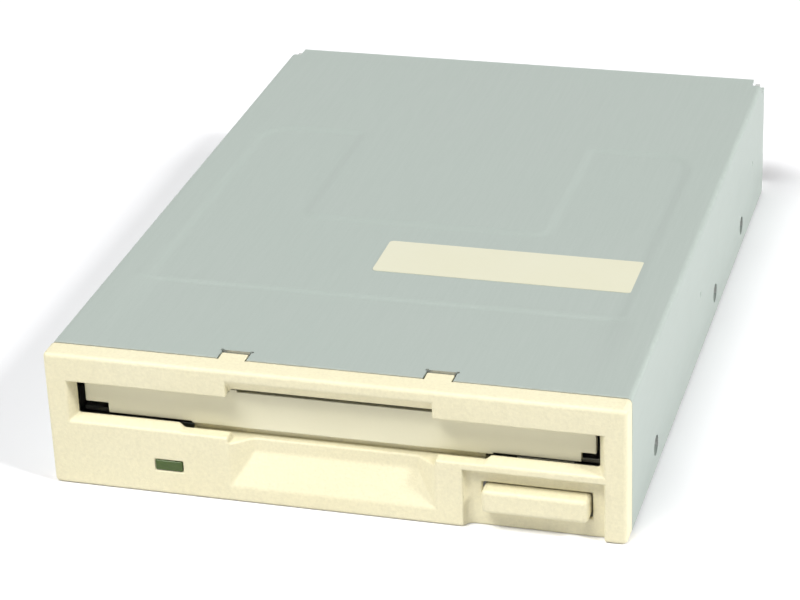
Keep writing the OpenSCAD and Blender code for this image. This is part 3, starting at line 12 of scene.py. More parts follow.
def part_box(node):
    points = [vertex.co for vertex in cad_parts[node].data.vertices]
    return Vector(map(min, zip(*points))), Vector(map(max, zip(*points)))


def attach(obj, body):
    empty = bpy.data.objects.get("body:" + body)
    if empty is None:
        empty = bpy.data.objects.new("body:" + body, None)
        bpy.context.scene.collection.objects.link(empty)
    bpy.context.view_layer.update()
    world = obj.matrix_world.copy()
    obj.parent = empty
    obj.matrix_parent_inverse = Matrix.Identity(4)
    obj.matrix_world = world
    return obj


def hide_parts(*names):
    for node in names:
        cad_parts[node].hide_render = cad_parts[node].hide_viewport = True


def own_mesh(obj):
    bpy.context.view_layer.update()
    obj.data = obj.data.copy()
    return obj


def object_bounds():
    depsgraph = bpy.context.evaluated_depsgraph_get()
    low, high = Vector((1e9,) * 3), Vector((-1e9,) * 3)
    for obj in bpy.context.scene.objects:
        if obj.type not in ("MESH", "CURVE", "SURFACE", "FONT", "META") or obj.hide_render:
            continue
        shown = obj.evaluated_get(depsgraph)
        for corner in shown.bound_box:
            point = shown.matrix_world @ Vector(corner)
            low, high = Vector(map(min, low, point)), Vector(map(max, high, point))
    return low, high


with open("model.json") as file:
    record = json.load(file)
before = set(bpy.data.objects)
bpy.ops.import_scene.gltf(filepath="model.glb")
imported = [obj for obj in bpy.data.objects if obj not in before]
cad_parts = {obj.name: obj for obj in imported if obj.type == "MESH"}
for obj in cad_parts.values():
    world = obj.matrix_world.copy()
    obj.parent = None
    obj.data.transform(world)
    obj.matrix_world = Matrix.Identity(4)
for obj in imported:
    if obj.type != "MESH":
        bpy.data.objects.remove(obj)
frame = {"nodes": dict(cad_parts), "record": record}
CAD_BOX = [list(corner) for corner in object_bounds()]

bl_info = {
    "name": "Slot-loading disk drive",
    "version": (1, 0, 0),
    "blender": (4, 5, 0),
    "location": "View3D > Sidebar > Disk drive",
    "description": "Builds the looks of a slot-loading disk drive around its CAD frame",
    "category": "Object",
}

MM = 0.001
NODES = frame["nodes"]
NODE_BODY = {node: body for body, nodes in frame["record"]["behaviour"]["bodies"].items() for node in nodes}
FACE_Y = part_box("front_bezel")[0].y
COVER_LOW, COVER_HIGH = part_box("top_cover")
BMVert, BMEdge, BMFace = bmesh.types.BMVert, bmesh.types.BMEdge, bmesh.types.BMFace
ORIGIN, ALONG_X, ALONG_Y, ALONG_Z = (0.0, 0.0, 0.0), (1.0, 0.0, 0.0), (0.0, 1.0, 0.0), (0.0, 0.0, 1.0)
WHITE = (1.0, 1.0, 1.0, 1.0)
SAME_SPOT = 1e-7
# Places on the cover, in millimetres behind the face, above the base and out from the flank
SIDE_HOLES, SIDE_HOLE_HEIGHT = (25.4, 85.4, 116.4), 5.0
DIMPLES, DIMPLE_HEIGHT, DIMPLE_OUT = (69.0, 130.0), 12.7, 0.25
# Places in millimetres beside the middle, and behind the face or behind the main board's front edge
LABEL_PLACE = (19.35, 48.8)
CAPACITORS = ((-38.0, 44.0), (38.0, 44.0), (32.0, 16.0))
# Steps of one turn
CURL_STEPS, THREAD_STEPS = 22, 28


# Properties


def length(name, description, default):
    """A length in metres that a user may change."""
    return FloatProperty(
        name=name, description=description, default=default, min=0.0, unit="LENGTH", precision=5)


def count(name, description, default):
    """A number of like things that a user may change."""
    return IntProperty(name=name, description=description, default=default, min=1)


def colour(name, description, default):
    """A colour that a user may change."""
    return FloatVectorProperty(
        name=name, description=description, default=default, min=0.0, max=1.0, size=3, subtype="COLOR")


def power(name, description, default):
    """A lamp's power that a user may change."""
    return FloatProperty(name=name, description=description, default=default, min=0.0, unit="POWER")


def strength(name, description, default):
    """A brightness without a unit that a user may change."""
    return FloatProperty(name=name, description=description, default=default, min=0.0)


class DriveSizes(bpy.types.PropertyGroup):
    """Sizes of the pieces that are modelled here."""

    sheet: length("Cover sheet", "Thickness of the cover's sheet", 0.6 * MM)
    bend: length("Cover bend", "Outer radius of the cover's long bends", 1.0 * MM)
    press_step: length("Pressed step", "Depth of one pressed step in the cover", 0.28 * MM)
    press_half: length("Pressed half width", "Half the width of the pressed field", 43.3 * MM)
    ramp_end: length("Ramp end", "Distance from the face to the end of the front ramp", 32.5 * MM)
    press_end: length("Pressed end", "Distance from the face to the rear of the pressed field", 102.1 * MM)
    press_corner: length("Pressed corner", "Corner radius of the pressed field", 6.5 * MM)
    tongue_half: length("Tongue half width", "Half the width of the raised tongue", 23.25 * MM)
    tongue_start: length("Tongue start", "Distance from the face to the tongue", 62.2 * MM)
    tongue_corner: length("Tongue corner", "Corner radius of the tongue", 3.0 * MM)
    shoulder: length("Pressed shoulder", "Width of the slope round a pressed form", 2.2 * MM)
    ramp_shoulder: length("Ramp shoulder", "Width of the slope beside the front ramp", 6.0 * MM)
    notch_x: length("Notch place", "Distance of a tab's notch from the middle", 18.05 * MM)
    notch_half: length("Notch half width", "Half the width of a tab's notch", 2.65 * MM)
    notch_end: length("Notch end", "Distance from the face to the notch's rear edge", 7.5 * MM)
    notch_relief: length("Notch relief", "Radius of the round relief in a notch's corner", 0.35 * MM)
    tab_half: length("Tab half width", "Half the width of a bezel tab's crown", 2.34 * MM)
    tab_end: length("Tab end", "Distance from the face to the rear of a tab's crown", 6.5 * MM)
    sill_half: length("Sill half width", "Half the width of the sill behind the flap's foot", 25.8 * MM)
    sill_start: length("Sill start", "Distance from the face to the sill", 4.75 * MM)
    sill_thick: length("Sill thickness", "Thickness of the sill", 0.8 * MM)
    sill_low: length("Sill foot", "Height of the ledge that the sill stands on", 11.25 * MM)
    sill_high: length("Sill top", "Height of the sill's top", 12.55 * MM)
    side_hole: length("Side hole", "Radius of the clearance holes in the cover's sides", 1.85 * MM)
    dimple: length("Dimple", "Radius of the round dimples in the cover's sides", 0.62 * MM)
    label_width: length("Label width", "Width of the bare label", 47.5 * MM)
    label_depth: length("Label depth", "Depth of the bare label", 12.6 * MM)
    label_thick: length("Label thickness", "Thickness of the bare label", 0.07 * MM)
    label_corner: length("Label corner", "Corner radius of the bare label", 0.8 * MM)
    plastic_edge: length("Plastic edge", "Rounding of moulded edges", 0.4 * MM)
    sheet_edge: length("Sheet edge", "Rounding of cut sheet edges", 0.1 * MM)
    winding_start: length("Winding start", "Distance from the spindle to a coil's inner end", 10.2 * MM)
    winding_end: length("Winding end", "Distance from the spindle to a coil's outer end", 18.3 * MM)
    winding_half: length("Winding half width", "Half the width of a coil", 2.3 * MM)
    winding_turns: count("Winding turns", "Visible turns of wire on one coil", 16)
    pole_count: count("Poles", "Coils round the spindle", 12)
    ribbon_thick: length("Ribbon thickness", "Thickness of the motor's ribbon", 0.22 * MM)
    ribbon_wires: count("Ribbon wires", "Conductors in the motor's ribbon", 11)
    thread_lead: length("Thread lead", "Distance that one turn of the screw moves the heads", 3.75 * MM)
    thread_depth: length("Thread depth", "Depth of the screw's groove", 0.3 * MM)


class DriveColours(bpy.types.PropertyGroup):
    """Colours of the finishes."""

    bezel: colour("Bezel", "Moulded front", (0.75, 0.70, 0.49))
    flap: colour("Flap", "Dust flap", (0.71, 0.675, 0.49))
    cover: colour("Cover", "Coated top cover", (0.35, 0.402, 0.366))
    label: colour("Label", "Bare label", (0.57, 0.56, 0.43))
    cream: colour("Cream plastic", "Power socket and plungers", (0.80, 0.76, 0.60))
    lens: colour("Lens", "Status lamp", (0.04, 0.078, 0.005))
    zinc: colour("Zinc", "Zinc coated steel", (0.56, 0.57, 0.55))
    steel: colour("Steel", "Bright steel", (0.62, 0.62, 0.63))
    alloy: colour("Alloy", "Cast carriage", (0.55, 0.55, 0.56))
    bronze: colour("Bronze", "Bearing bronze", (0.62, 0.43, 0.20))
    copper: colour("Copper", "Motor winding", (0.66, 0.28, 0.12))
    contact: colour("Contact", "Plated contacts", (0.78, 0.62, 0.30))
    tin: colour("Tin", "Solder and chip legs", (0.66, 0.67, 0.68))
    green_board: colour("Main board", "Solder mask of the main board", (0.02, 0.13, 0.055))
    brown_board: colour("Motor board", "Paper board of the motor", (0.22, 0.115, 0.04))
    black: colour("Black plastic", "Connectors, chips and switches", (0.018, 0.018, 0.02))
    ribbon: colour("Ribbon", "Film of the motor's ribbon", (0.16, 0.075, 0.02))
    ferrite: colour("Ferrite", "Magnets", (0.035, 0.033, 0.032))


class DriveStage(bpy.types.PropertyGroup):
    """Floor, lights and camera."""

    floor: colour("Floor", "Light that the floor throws back", (0.80, 0.80, 0.81))
    glow: strength("Floor glow", "Brightness that the camera adds to the floor", 0.08)
    lens: FloatProperty(name="Lens", description="Focal length on a 36 mm wide sensor", default=122.34,
                        min=10.0, unit="CAMERA")
    place: FloatVectorProperty(name="Camera place", description="Where the camera stands", size=3,
                               subtype="TRANSLATION", default=(0.126359, -0.451771, 0.238619))
    turn: FloatVectorProperty(name="Camera turn", description="How the camera is turned", size=3,
                              subtype="EULER", default=(1.10703, 0.037368, 0.272195))
    key: power("Key light", "Power of the wide light above the front", 40.0)
    side: power("Side light", "Power of the small light at the right", 24.0)
    rear: power("Rear light", "Power of the light behind at the right", 22.0)
    front: power("Front light", "Power of the low light in front", 5.0)
    room: strength("Room light", "Strength of the light all round", 0.06)


def sizes():
    return bpy.context.scene.drive_sizes


# Helpers for materials


def add(tree, kind, inputs=None, **settings):
    """A node with its settings; each input takes a plain value or another node's socket."""
    made = tree.nodes.new(kind)
    for key, value in settings.items():
        setattr(made, key, value)
    for key, value in (inputs or {}).items():
        if isinstance(value, bpy.types.NodeSocket):
            tree.links.new(value, made.inputs[key])
        else:
            made.inputs[key].default_value = value
    return made


def math_node(tree, operation, *values, clamp=False):
    """What a calculation on sockets or plain numbers gives."""
    made = add(tree, "ShaderNodeMath", dict(enumerate(values)), operation=operation, use_clamp=clamp)
    return made.outputs[0]


def vector_node(tree, operation, *values):
    """What a calculation on vectors gives."""
    return add(tree, "ShaderNodeVectorMath", dict(enumerate(values)), operation=operation).outputs[0]


def spread(tree, value, low, high, new_low=0.0, new_high=1.0, **settings):
    """A value brought from one range to another."""
    ranges = {"Value": value, "From Min": low, "From Max": high, "To Min": new_low, "To Max": new_high}
    return add(tree, "ShaderNodeMapRange", ranges, **settings).outputs["Result"]


def shaded(values, factors):
    """A colour times one factor, or each channel times its own."""
    each = factors if isinstance(factors, tuple) else (factors,) * 3
    return [value * factor for value, factor in zip(values, each)]


def shader_group(name, inputs, outputs, kind="NodeSocketFloat"):
    """An empty shader group, with the sockets that lead into it and out of it."""
    group = bpy.data.node_groups.new(name, "ShaderNodeTree")
    for label, value in inputs.items():
        form = "Float" if isinstance(value, float) else {3: "Vector", 4: "Color"}[len(value)]
        socket = group.interface.new_socket(name=label, in_out="INPUT", socket_type="NodeSocket" + form)
        socket.default_value = value
    for label in outputs:
        group.interface.new_socket(name=label, in_out="OUTPUT", socket_type=kind)
    return group, group.nodes.new("NodeGroupInput").outputs, group.nodes.new("NodeGroupOutput").inputs


def noise(tree, place, scale, detail, roughness):
    """A noise texture's value."""
    inputs = {"Vector": place, "Scale": scale, "Detail": detail, "Roughness": roughness}
    return add(tree, "ShaderNodeTexNoise", inputs).outputs["Fac"]


def fine_grain(name):
    """Fine surface texture: a height for bumps and a slow mottle."""
    sockets = {"Vector": ORIGIN, "Scale": 2500.0, "Mottle Scale": 60.0}
    group, inlet, outlet = shader_group(name, sockets, ("Height", "Mottle"))
    slow = noise(group, inlet["Vector"], inlet["Mottle Scale"], detail=4.0, roughness=0.55)
    fine = noise(group, inlet["Vector"], inlet["Scale"], detail=2.0, roughness=0.6)
    group.links.new(fine, outlet["Height"])
    group.links.new(spread(group, slow, 0.3, 0.7), outlet["Mottle"])
    return group


def tinted_patches(name):
    """Shifts a colour towards another by a mask."""
    sockets = {"Color": WHITE, "Patch Color": WHITE, "Mask": 0.0, "Amount": 0.3}
    group, inlet, outlet = shader_group(name, sockets, ("Color",), "NodeSocketColor")
    share = math_node(group, "MULTIPLY", inlet["Mask"], inlet["Amount"], clamp=True)
    mix = add(group, "ShaderNodeMix", {"Factor": share, "A": inlet["Color"], "B": inlet["Patch Color"]},
              data_type="RGBA")
    group.links.new(mix.outputs["Result"], outlet["Color"])
    return group


def sparse_specks(name):
    """Sparse small specks, as a mask."""
    sockets = {"Vector": ORIGIN, "Scale": 300.0, "Size": 0.12, "Share": 0.1}
    group, inlet, outlet = shader_group(name, sockets, ("Mask",))
    cells = add(group, "ShaderNodeTexVoronoi", {"Vector": inlet["Vector"], "Scale": inlet["Scale"]}).outputs
    chance = add(group, "ShaderNodeSeparateColor", {"Color": cells["Color"]}).outputs["Red"]
    near = math_node(group, "LESS_THAN", cells["Distance"], inlet["Size"])
    chosen = math_node(group, "LESS_THAN", chance, inlet["Share"])
    group.links.new(math_node(group, "MULTIPLY", near, chosen), outlet["Mask"])
    return group


def drawn_lines(name):
    """Fine drawn or handled lines along one direction, as a mask."""
    sockets = {"Vector": ORIGIN, "Stretch": (30.0, 1.0, 30.0), "Scale": 60.0}
    group, inlet, outlet = shader_group(name, sockets, ("Mask",))
    stretched = vector_node(group, "MULTIPLY", inlet["Vector"], inlet["Stretch"])
    lines = noise(group, stretched, inlet["Scale"], detail=3.0, roughness=0.65)
    group.links.new(spread(group, lines, 0.35, 0.65), outlet["Mask"])
    return group


def rubbed_edges(name):
    """Rubbed edges of a box-shaped piece, broken up by noise, as a mask."""
    sockets = {"Vector": ORIGIN, "Middle": ORIGIN, "Half": (0.05, 0.05, 0.05), "Width": 0.6 * MM}
    group, inlet, outlet = shader_group(name, sockets, ("Mask",))
    away = vector_node(group, "ABSOLUTE", vector_node(group, "SUBTRACT", inlet["Vector"], inlet["Middle"]))
    beyond = vector_node(group, "SUBTRACT", away, inlet["Half"])
    parts = add(group, "ShaderNodeSeparateXYZ", {0: beyond}).outputs
    near = []
    for axis in "XYZ":
        share = math_node(group, "DIVIDE", parts[axis], inlet["Width"])
        near.append(math_node(group, "ADD", share, 1.0, clamp=True))
    pairs = [math_node(group, "MULTIPLY", near[i], near[(i + 1) % 3]) for i in range(3)]
    edge = math_node(group, "MAXIMUM", math_node(group, "MAXIMUM", pairs[0], pairs[1]), pairs[2])
    patchy = noise(group, inlet["Vector"], scale=420.0, detail=4.0, roughness=0.7)
    broken = spread(group, patchy, 0.42, 0.62)
    group.links.new(math_node(group, "MULTIPLY", edge, broken), outlet["Mask"])
    return group


class Look:
    """A finish in the making: its node tree, its shader and its Object coordinates."""

    def __init__(self, name, base, constants=None):
        self.material = bpy.data.materials.new(name + "_finish")
        self.material.use_nodes = True
        self.tree = self.material.node_tree
        self.tree.nodes.clear()
        inputs = {"Base Color": (*base, 1.0), **(constants or {})}
        self.shader = add(self.tree, "ShaderNodeBsdfPrincipled", inputs)
        add(self.tree, "ShaderNodeOutputMaterial", {"Surface": self.shader.outputs["BSDF"]})
        self.place = self.tree.nodes.new("ShaderNodeTexCoord").outputs["Object"]

    def layer(self, build, inputs):
        """The outputs of a shared group, which is built at its first use."""
        group = bpy.data.node_groups.get(build.__name__) or build(build.__name__)
        return add(self.tree, "ShaderNodeGroup", inputs, node_tree=group).outputs

    def grain(self, scale, mottle):
        """Fine texture and a slow mottle."""
        return self.layer(fine_grain, {"Vector": self.place, "Scale": scale, "Mottle Scale": mottle})

    def lines(self, stretch, scale):
        """A mask of fine lines."""
        return self.layer(drawn_lines, {"Vector": self.place, "Stretch": stretch, "Scale": scale})["Mask"]

    def stripes(self, way, pitch):
        """A mask of even stripes across one direction."""
        return add(self.tree, "ShaderNodeTexWave", {"Vector": self.place, "Scale": math.tau / (20.0 * pitch)},
                   bands_direction=way).outputs["Fac"]

    def tint(self, mask, patch, amount):
        """Lays a patch colour over the present base colour where the mask is."""
        before = self.shader.inputs["Base Color"]
        under = before.links[0].from_socket if before.is_linked else tuple(before.default_value)
        over = self.layer(tinted_patches, {"Color": under, "Patch Color": (*patch, 1.0), "Mask": mask,
                                           "Amount": amount})
        self.tree.links.new(over["Color"], before)

    def specks(self, patch, share, scale, size, amount):
        """A few specks of another colour."""
        dots = self.layer(sparse_specks, {"Vector": self.place, "Scale": scale, "Size": size, "Share": share})
        self.tint(dots["Mask"], patch, amount)

    def wear(self, node, patch, amount, width):
        """Rubs the edges of one node's box towards a colour."""
        low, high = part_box(node)
        edges = self.layer(rubbed_edges, {"Vector": self.place, "Middle": (low + high) / 2.0,
                                          "Half": (high - low) / 2.0, "Width": width})
        self.tint(edges["Mask"], patch, amount)

    def finished(self, mask, low, high, height, depth):
        """The material, rough between two values by a mask and with bumps of a depth by a height."""
        self.tree.links.new(spread(self.tree, mask, 0.0, 1.0, low, high), self.shader.inputs["Roughness"])
        bump = add(self.tree, "ShaderNodeBump", {"Height": height, "Strength": 1.0, "Distance": depth})
        self.tree.links.new(bump.outputs["Normal"], self.shader.inputs["Normal"])
        return self.material


def moulded_plastic(name, base, patch, scale=2600.0, bump=0.03 * MM, low=0.42, high=0.55, grain_tint=0.0,
                    specks=0.0, worn=None):
    """Spark-textured plastic with a slow colour shift, a few dark specks and rubbed edges."""
    look = Look(name, base)
    grain = look.grain(scale, mottle=45.0)
    look.tint(grain["Mottle"], patch, amount=0.5)
    if grain_tint > 0.0:
        look.tint(grain["Height"], shaded(base, 0.55), grain_tint)
    if specks > 0.0:
        dark = (0.10, 0.085, 0.06)
        look.specks(dark, specks, scale=150.0, size=0.05, amount=0.55)
    if worn:
        look.wear(worn, shaded(base, 0.62), amount=0.35, width=0.5 * MM)
    return look.finished(grain["Mottle"], low, high, grain["Height"], bump)


def coated_sheet(name, base, patch, metallic, low, high, worn=None):
    """Rolled and coated sheet: faint lines along its length, a slow mottle and a satin surface."""
    look = Look(name, base, {"Metallic": metallic})
    grain = look.grain(scale=3200.0, mottle=24.0)
    lines = look.lines(stretch=(26.0, 1.0, 26.0), scale=90.0)
    look.tint(grain["Mottle"], patch, amount=0.5)
    look.tint(lines, shaded(base, 0.90), amount=0.3)
    look.tint(grain["Height"], shaded(base, 0.70), amount=0.16)
    if worn:
        look.specks(shaded(base, 0.35), share=0.05, scale=120.0, size=0.03, amount=0.5)
        look.wear(worn, [min(1.0, value) for value in shaded(base, 1.35)], amount=0.45, width=0.8 * MM)
    return look.finished(grain["Mottle"], low, high, grain["Height"], depth=0.006 * MM)


def bare_metal(name, base, patch, low, high, stretch=(20.0, 20.0, 1.0), metallic=1.0):
    """Turned or ground metal with fine lines in its colour and roughness."""
    look = Look(name, base, {"Metallic": metallic})
    grain = look.grain(scale=3600.0, mottle=90.0)
    lines = look.lines(stretch, scale=160.0)
    look.tint(lines, shaded(base, 0.78), amount=0.6)
    look.tint(grain["Mottle"], patch, amount=0.4)
    return look.finished(lines, low, high, grain["Height"], depth=0.004 * MM)


def printed_board(name, base, patch, pitch):
    """Board with bundles of raised copper runs under its mask, each bundle along x or along y."""
    look = Look(name, base, {"Coat Weight": 0.3})
    tree = look.tree
    cells = add(tree, "ShaderNodeTexVoronoi", {"Vector": look.place, "Scale": 1.0 / (9.0 * pitch),
                                               "Randomness": 0.6}, distance="CHEBYCHEV")
    chance = add(tree, "ShaderNodeSeparateColor", {"Color": cells.outputs["Color"]}).outputs
    across = math_node(tree, "GREATER_THAN", chance["Red"], 0.5)
    along = math_node(tree, "SUBTRACT", 1.0, across)
    stripes = math_node(tree, "ADD", math_node(tree, "MULTIPLY", look.stripes("X", pitch), across),
                        math_node(tree, "MULTIPLY", look.stripes("Y", pitch), along))
    used = math_node(tree, "LESS_THAN", chance["Green"], 0.72)
    runs = math_node(tree, "MULTIPLY", spread(tree, stripes, 0.56, 0.66), used)
    grain = look.grain(scale=2200.0, mottle=40.0)
    look.tint(grain["Mottle"], shaded(base, 0.8), amount=0.6)
    look.tint(runs, patch, amount=0.8)
    return look.finished(grain["Mottle"], low=0.34, high=0.46, height=runs, depth=0.03 * MM)


def striped_film(name, base, patch):
    """Clear brown film over dark copper runs."""
    look = Look(name, base, {"Coat Weight": 0.5})
    low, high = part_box("motor_ribbon")
    runs = look.stripes("X", (high.x - low.x) / sizes().ribbon_wires)
    grain = look.grain(scale=1500.0, mottle=70.0)
    look.tint(runs, patch, amount=0.8)
    look.tint(grain["Mottle"], shaded(base, 0.7), amount=0.4)
    return look.finished(grain["Mottle"], low=0.25, high=0.38, height=runs, depth=0.02 * MM)


# Each finish: its maker, its colour, the factors of the colour that it shifts to, and its settings
SPARKED = {"scale": 1900.0, "bump": 0.07 * MM, "grain_tint": 0.42, "specks": 0.03}
FINISHES = {
    "bezel_plastic": (moulded_plastic, "bezel", (0.97, 0.95, 0.88), {**SPARKED, "worn": "front_bezel"}),
    "button_plastic": (moulded_plastic, "bezel", (0.97, 0.95, 0.88), {**SPARKED, "worn": "eject_button"}),
    "flap_plastic": (moulded_plastic, "flap", (0.94, 0.94, 0.92),
                     {"bump": 0.02 * MM, "grain_tint": 0.06, "worn": "dust_flap"}),
    "label_film": (moulded_plastic, "label", (0.96, 0.95, 0.90),
                   {"scale": 900.0, "bump": 0.006 * MM, "low": 0.36, "high": 0.44, "grain_tint": 0.03}),
    "lens_green": (moulded_plastic, "lens", 0.6,
                   {"scale": 900.0, "bump": 0.004 * MM, "low": 0.14, "high": 0.24}),
    "black_plastic": (moulded_plastic, "black", 1.5, {"low": 0.36, "high": 0.48}),
    "cream_plastic": (moulded_plastic, "cream", (0.95, 0.94, 0.88), {"bump": 0.01 * MM}),
    "ferrite": (moulded_plastic, "ferrite", 1.4, {"low": 0.5, "high": 0.65}),
    "cover_paint": (coated_sheet, "cover", (1.05, 1.0, 1.03),
                    {"metallic": 0.25, "low": 0.40, "high": 0.50, "worn": "top_cover"}),
    "zinc_steel": (coated_sheet, "zinc", (0.88, 0.89, 0.90), {"metallic": 0.85, "low": 0.32, "high": 0.45}),
    "bright_steel": (bare_metal, "steel", 0.86, {"low": 0.20, "high": 0.34}),
    "solder_tin": (bare_metal, "tin", 0.86, {"low": 0.26, "high": 0.40}),
    "cast_alloy": (bare_metal, "alloy", 0.86, {"low": 0.42, "high": 0.58}),
    "contact_metal": (bare_metal, "contact", 0.86, {"low": 0.22, "high": 0.32}),
    "bearing_bronze": (bare_metal, "bronze", 0.86, {"low": 0.30, "high": 0.42}),
    "copper_wire": (bare_metal, "copper", 0.86,
                    {"low": 0.25, "high": 0.38, "stretch": (1.0, 1.0, 24.0), "metallic": 0.7}),
    "board_green": (printed_board, "green_board", 1.9, {"pitch": 1.3 * MM}),
    "board_brown": (printed_board, "brown_board", (1.6, 1.6, 1.4), {"pitch": 1.8 * MM}),
    "ribbon_film": (striped_film, "ribbon", (2.2, 2.0, 1.6), {}),
}


def finish(name):
    """The finish of that name, made at its first use."""
    known = bpy.data.materials.get(name + "_finish")
    if known:
        return known
    make, colour_name, factors, settings = FINISHES[name]
    base = tuple(getattr(bpy.context.scene.drive_colours, colour_name))
    return make(name, base, shaded(base, factors), **settings)


def dress(finish_name, *nodes):
    """Gives CAD nodes a finish in place of their plain one."""
    for node in nodes:
        for slot in NODES[node].material_slots:
            slot.material = finish(finish_name)


# Helpers for meshes


def spot(x, depth, z):
    """A point in metres from millimetres beside the middle, behind the face and above the base."""
    return Vector((x * MM, FACE_Y + depth * MM, z * MM))


def turned(degrees, axis):
    """A turn about an axis."""
    return Matrix.Rotation(math.radians(degrees), 4, axis)


def kinds(geometry, kind):
    """The members of one kind in an operator's result."""
    return [each for each in geometry if isinstance(each, kind)]


def edges_at(verts):
    """The edges that meet at some corners."""
    return list(dict.fromkeys(edge for vert in verts for edge in vert.link_edges))


def faces_at(verts):
    """The faces that meet at some corners."""
    return list(dict.fromkeys(face for vert in verts for face in vert.link_faces))


def added(bm, known):
    """The corners that came after the known ones."""
    return [vert for vert in bm.verts if vert not in known]


def piece_from(bm, name, finish_name, replaced=None, smooth_angle=35.0, even=False):
    """Turns a finished bmesh into a piece, on the frame or on the body of the CAD node that it replaces.

    With even, flat faces are lit evenly beside round edges.
    """
    if not bm.faces:
        raise RuntimeError(f"{name} has no faces")
    mesh = bpy.data.meshes.new(name)
    bm.normal_update()
    bm.to_mesh(mesh)
    bm.free()
    mesh.polygons.foreach_set("use_smooth", [True] * len(mesh.polygons))
    mesh.set_sharp_from_angle(angle=math.radians(smooth_angle))
    mesh.materials.append(finish(finish_name))
    piece = bpy.data.objects.new(name, mesh)
    bpy.context.scene.collection.objects.link(piece)
    if even:
        weighted = piece.modifiers.new("even_faces", "WEIGHTED_NORMAL")
        weighted.weight = 100
        weighted.keep_sharp = True
    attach(piece, NODE_BODY[replaced] if replaced else "frame")
    if replaced:
        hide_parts(replaced)
    return piece


def rounded(bm, geometry, radius, segments=2, affect="EDGES"):
    """Rounds edges or corners."""
    bmesh.ops.bevel(bm, geom=geometry, offset=radius, offset_type="OFFSET", segments=segments, profile=0.5,
                    affect=affect, material=-1)


def merged_copy(node):
    """A CAD node's triangles with their shared corners joined."""
    shared_corner = 2e-6
    bm = bmesh.new()
    bm.from_mesh(NODES[node].data)
    bmesh.ops.remove_doubles(bm, verts=bm.verts, dist=shared_corner)
    return bm


def keeps_shape(bm, node, volume):
    """Tells whether a rounded copy still fills its CAD node."""
    low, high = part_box(node)
    slack, loss = 0.03 * MM, 0.06
    inside = all(low[i] - slack <= vert.co[i] <= high[i] + slack for vert in bm.verts for i in range(3))
    return inside and abs(bm.calc_volume() / volume - 1.0) < loss


def softened(node, radius):
    """A merged copy of a CAD node with its sharp edges rounded as far as its shape allows."""
    sharp = math.radians(20.0)
    for share in (1.0, 0.6, 0.3):
        bm = merged_copy(node)
        volume = bm.calc_volume()
        rounded(bm, [e for e in bm.edges if e.is_manifold and e.calc_face_angle() > sharp], radius * share)
        if keeps_shape(bm, node, volume):
            return bm
        bm.free()
    return merged_copy(node)


def soft_piece(node, name, radius, finish_name):
    """A piece that stands for a CAD node, with its edges rounded."""
    piece_from(softened(node, radius), name, finish_name, node, smooth_angle=65.0, even=True)


def add_box(bm, low, high):
    """A box between two corners."""
    made = bmesh.ops.create_cube(bm, size=1.0)["verts"]
    bmesh.ops.scale(bm, vec=high - low, verts=made)
    bmesh.ops.translate(bm, vec=(low + high) / 2.0, verts=made)
    return made


def add_rod(bm, place, radius, span, sides):
    """A round rod along the z axis, set by a matrix."""
    bmesh.ops.create_cone(bm, cap_ends=True, segments=sides, radius1=radius, radius2=radius, depth=span,
                          matrix=place)


def add_panel(bm, width, depth, place):
    """A flat panel in the middle, set by a matrix."""
    made = bmesh.ops.create_grid(bm, x_segments=1, y_segments=1, size=0.5)["verts"]
    bmesh.ops.scale(bm, vec=(width, depth, 1.0), verts=made)
    bmesh.ops.transform(bm, matrix=place, verts=made)
    return made


def in_metres(profile):
    """A profile that is given in millimetres."""
    return [(radius * MM, height * MM) for radius, height in profile]


def add_turned(bm, profile, place):
    """A turned shape from its (radius, height) profile about the z axis, set by a matrix."""
    known = set(bm.verts)
    verts = [bm.verts.new((radius, 0.0, height)) for radius, height in profile]
    edges = [bm.edges.new(pair) for pair in zip(verts, verts[1:])]
    bmesh.ops.spin(bm, geom=verts + edges, cent=ORIGIN, axis=ALONG_Z, angle=math.tau, steps=40,
                   use_merge=True)
    bmesh.ops.remove_doubles(bm, verts=added(bm, known), dist=SAME_SPOT)
    made = added(bm, known)
    bmesh.ops.transform(bm, matrix=place, verts=made)
    bmesh.ops.recalc_face_normals(bm, faces=faces_at(made))
    return made


def repeated(bm, verts, number, angle=0.0, step=ORIGIN):
    """Repeats a shape about the z axis or along a row, until there are that many."""
    if number > 1:
        bmesh.ops.spin(bm, geom=verts + edges_at(verts) + faces_at(verts), cent=ORIGIN, axis=ALONG_Z,
                       angle=angle * (number - 1), dvec=step, steps=number - 1, use_duplicate=True)


def draw_on(bm, rim, way):
    """Draws an open rim out straight and gives back its new end."""
    drawn = bmesh.ops.extrude_edge_only(bm, edges=rim)["geom"]
    verts = kinds(drawn, BMVert)
    bmesh.ops.translate(bm, vec=way, verts=verts)
    return [edge for edge in kinds(drawn, BMEdge) if all(vert in verts for vert in edge.verts)]


def bend_on(bm, rim, middle, degrees, steps, axis=ALONG_X):
    """Bends an open rim about a line through a point and gives back its new end."""
    verts = list(dict.fromkeys(vert for edge in rim for vert in edge.verts))
    bent = bmesh.ops.spin(bm, geom=rim + verts, cent=middle, axis=axis, angle=math.radians(degrees),
                          steps=steps)
    return kinds(bent["geom_last"], BMEdge)


def push_out(bm, face, way):
    """Draws a face out and gives back its new end."""
    face = kinds(bmesh.ops.extrude_face_region(bm, geom=[face])["geom"], BMFace)[0]
    bmesh.ops.translate(bm, vec=way, verts=face.verts)
    return face


def loose_object(bm, name):
    """An object with no body yet."""
    mesh = bpy.data.meshes.new(name)
    bm.to_mesh(mesh)
    bm.free()
    made = bpy.data.objects.new(name, mesh)
    bpy.context.scene.collection.objects.link(made)
    return made


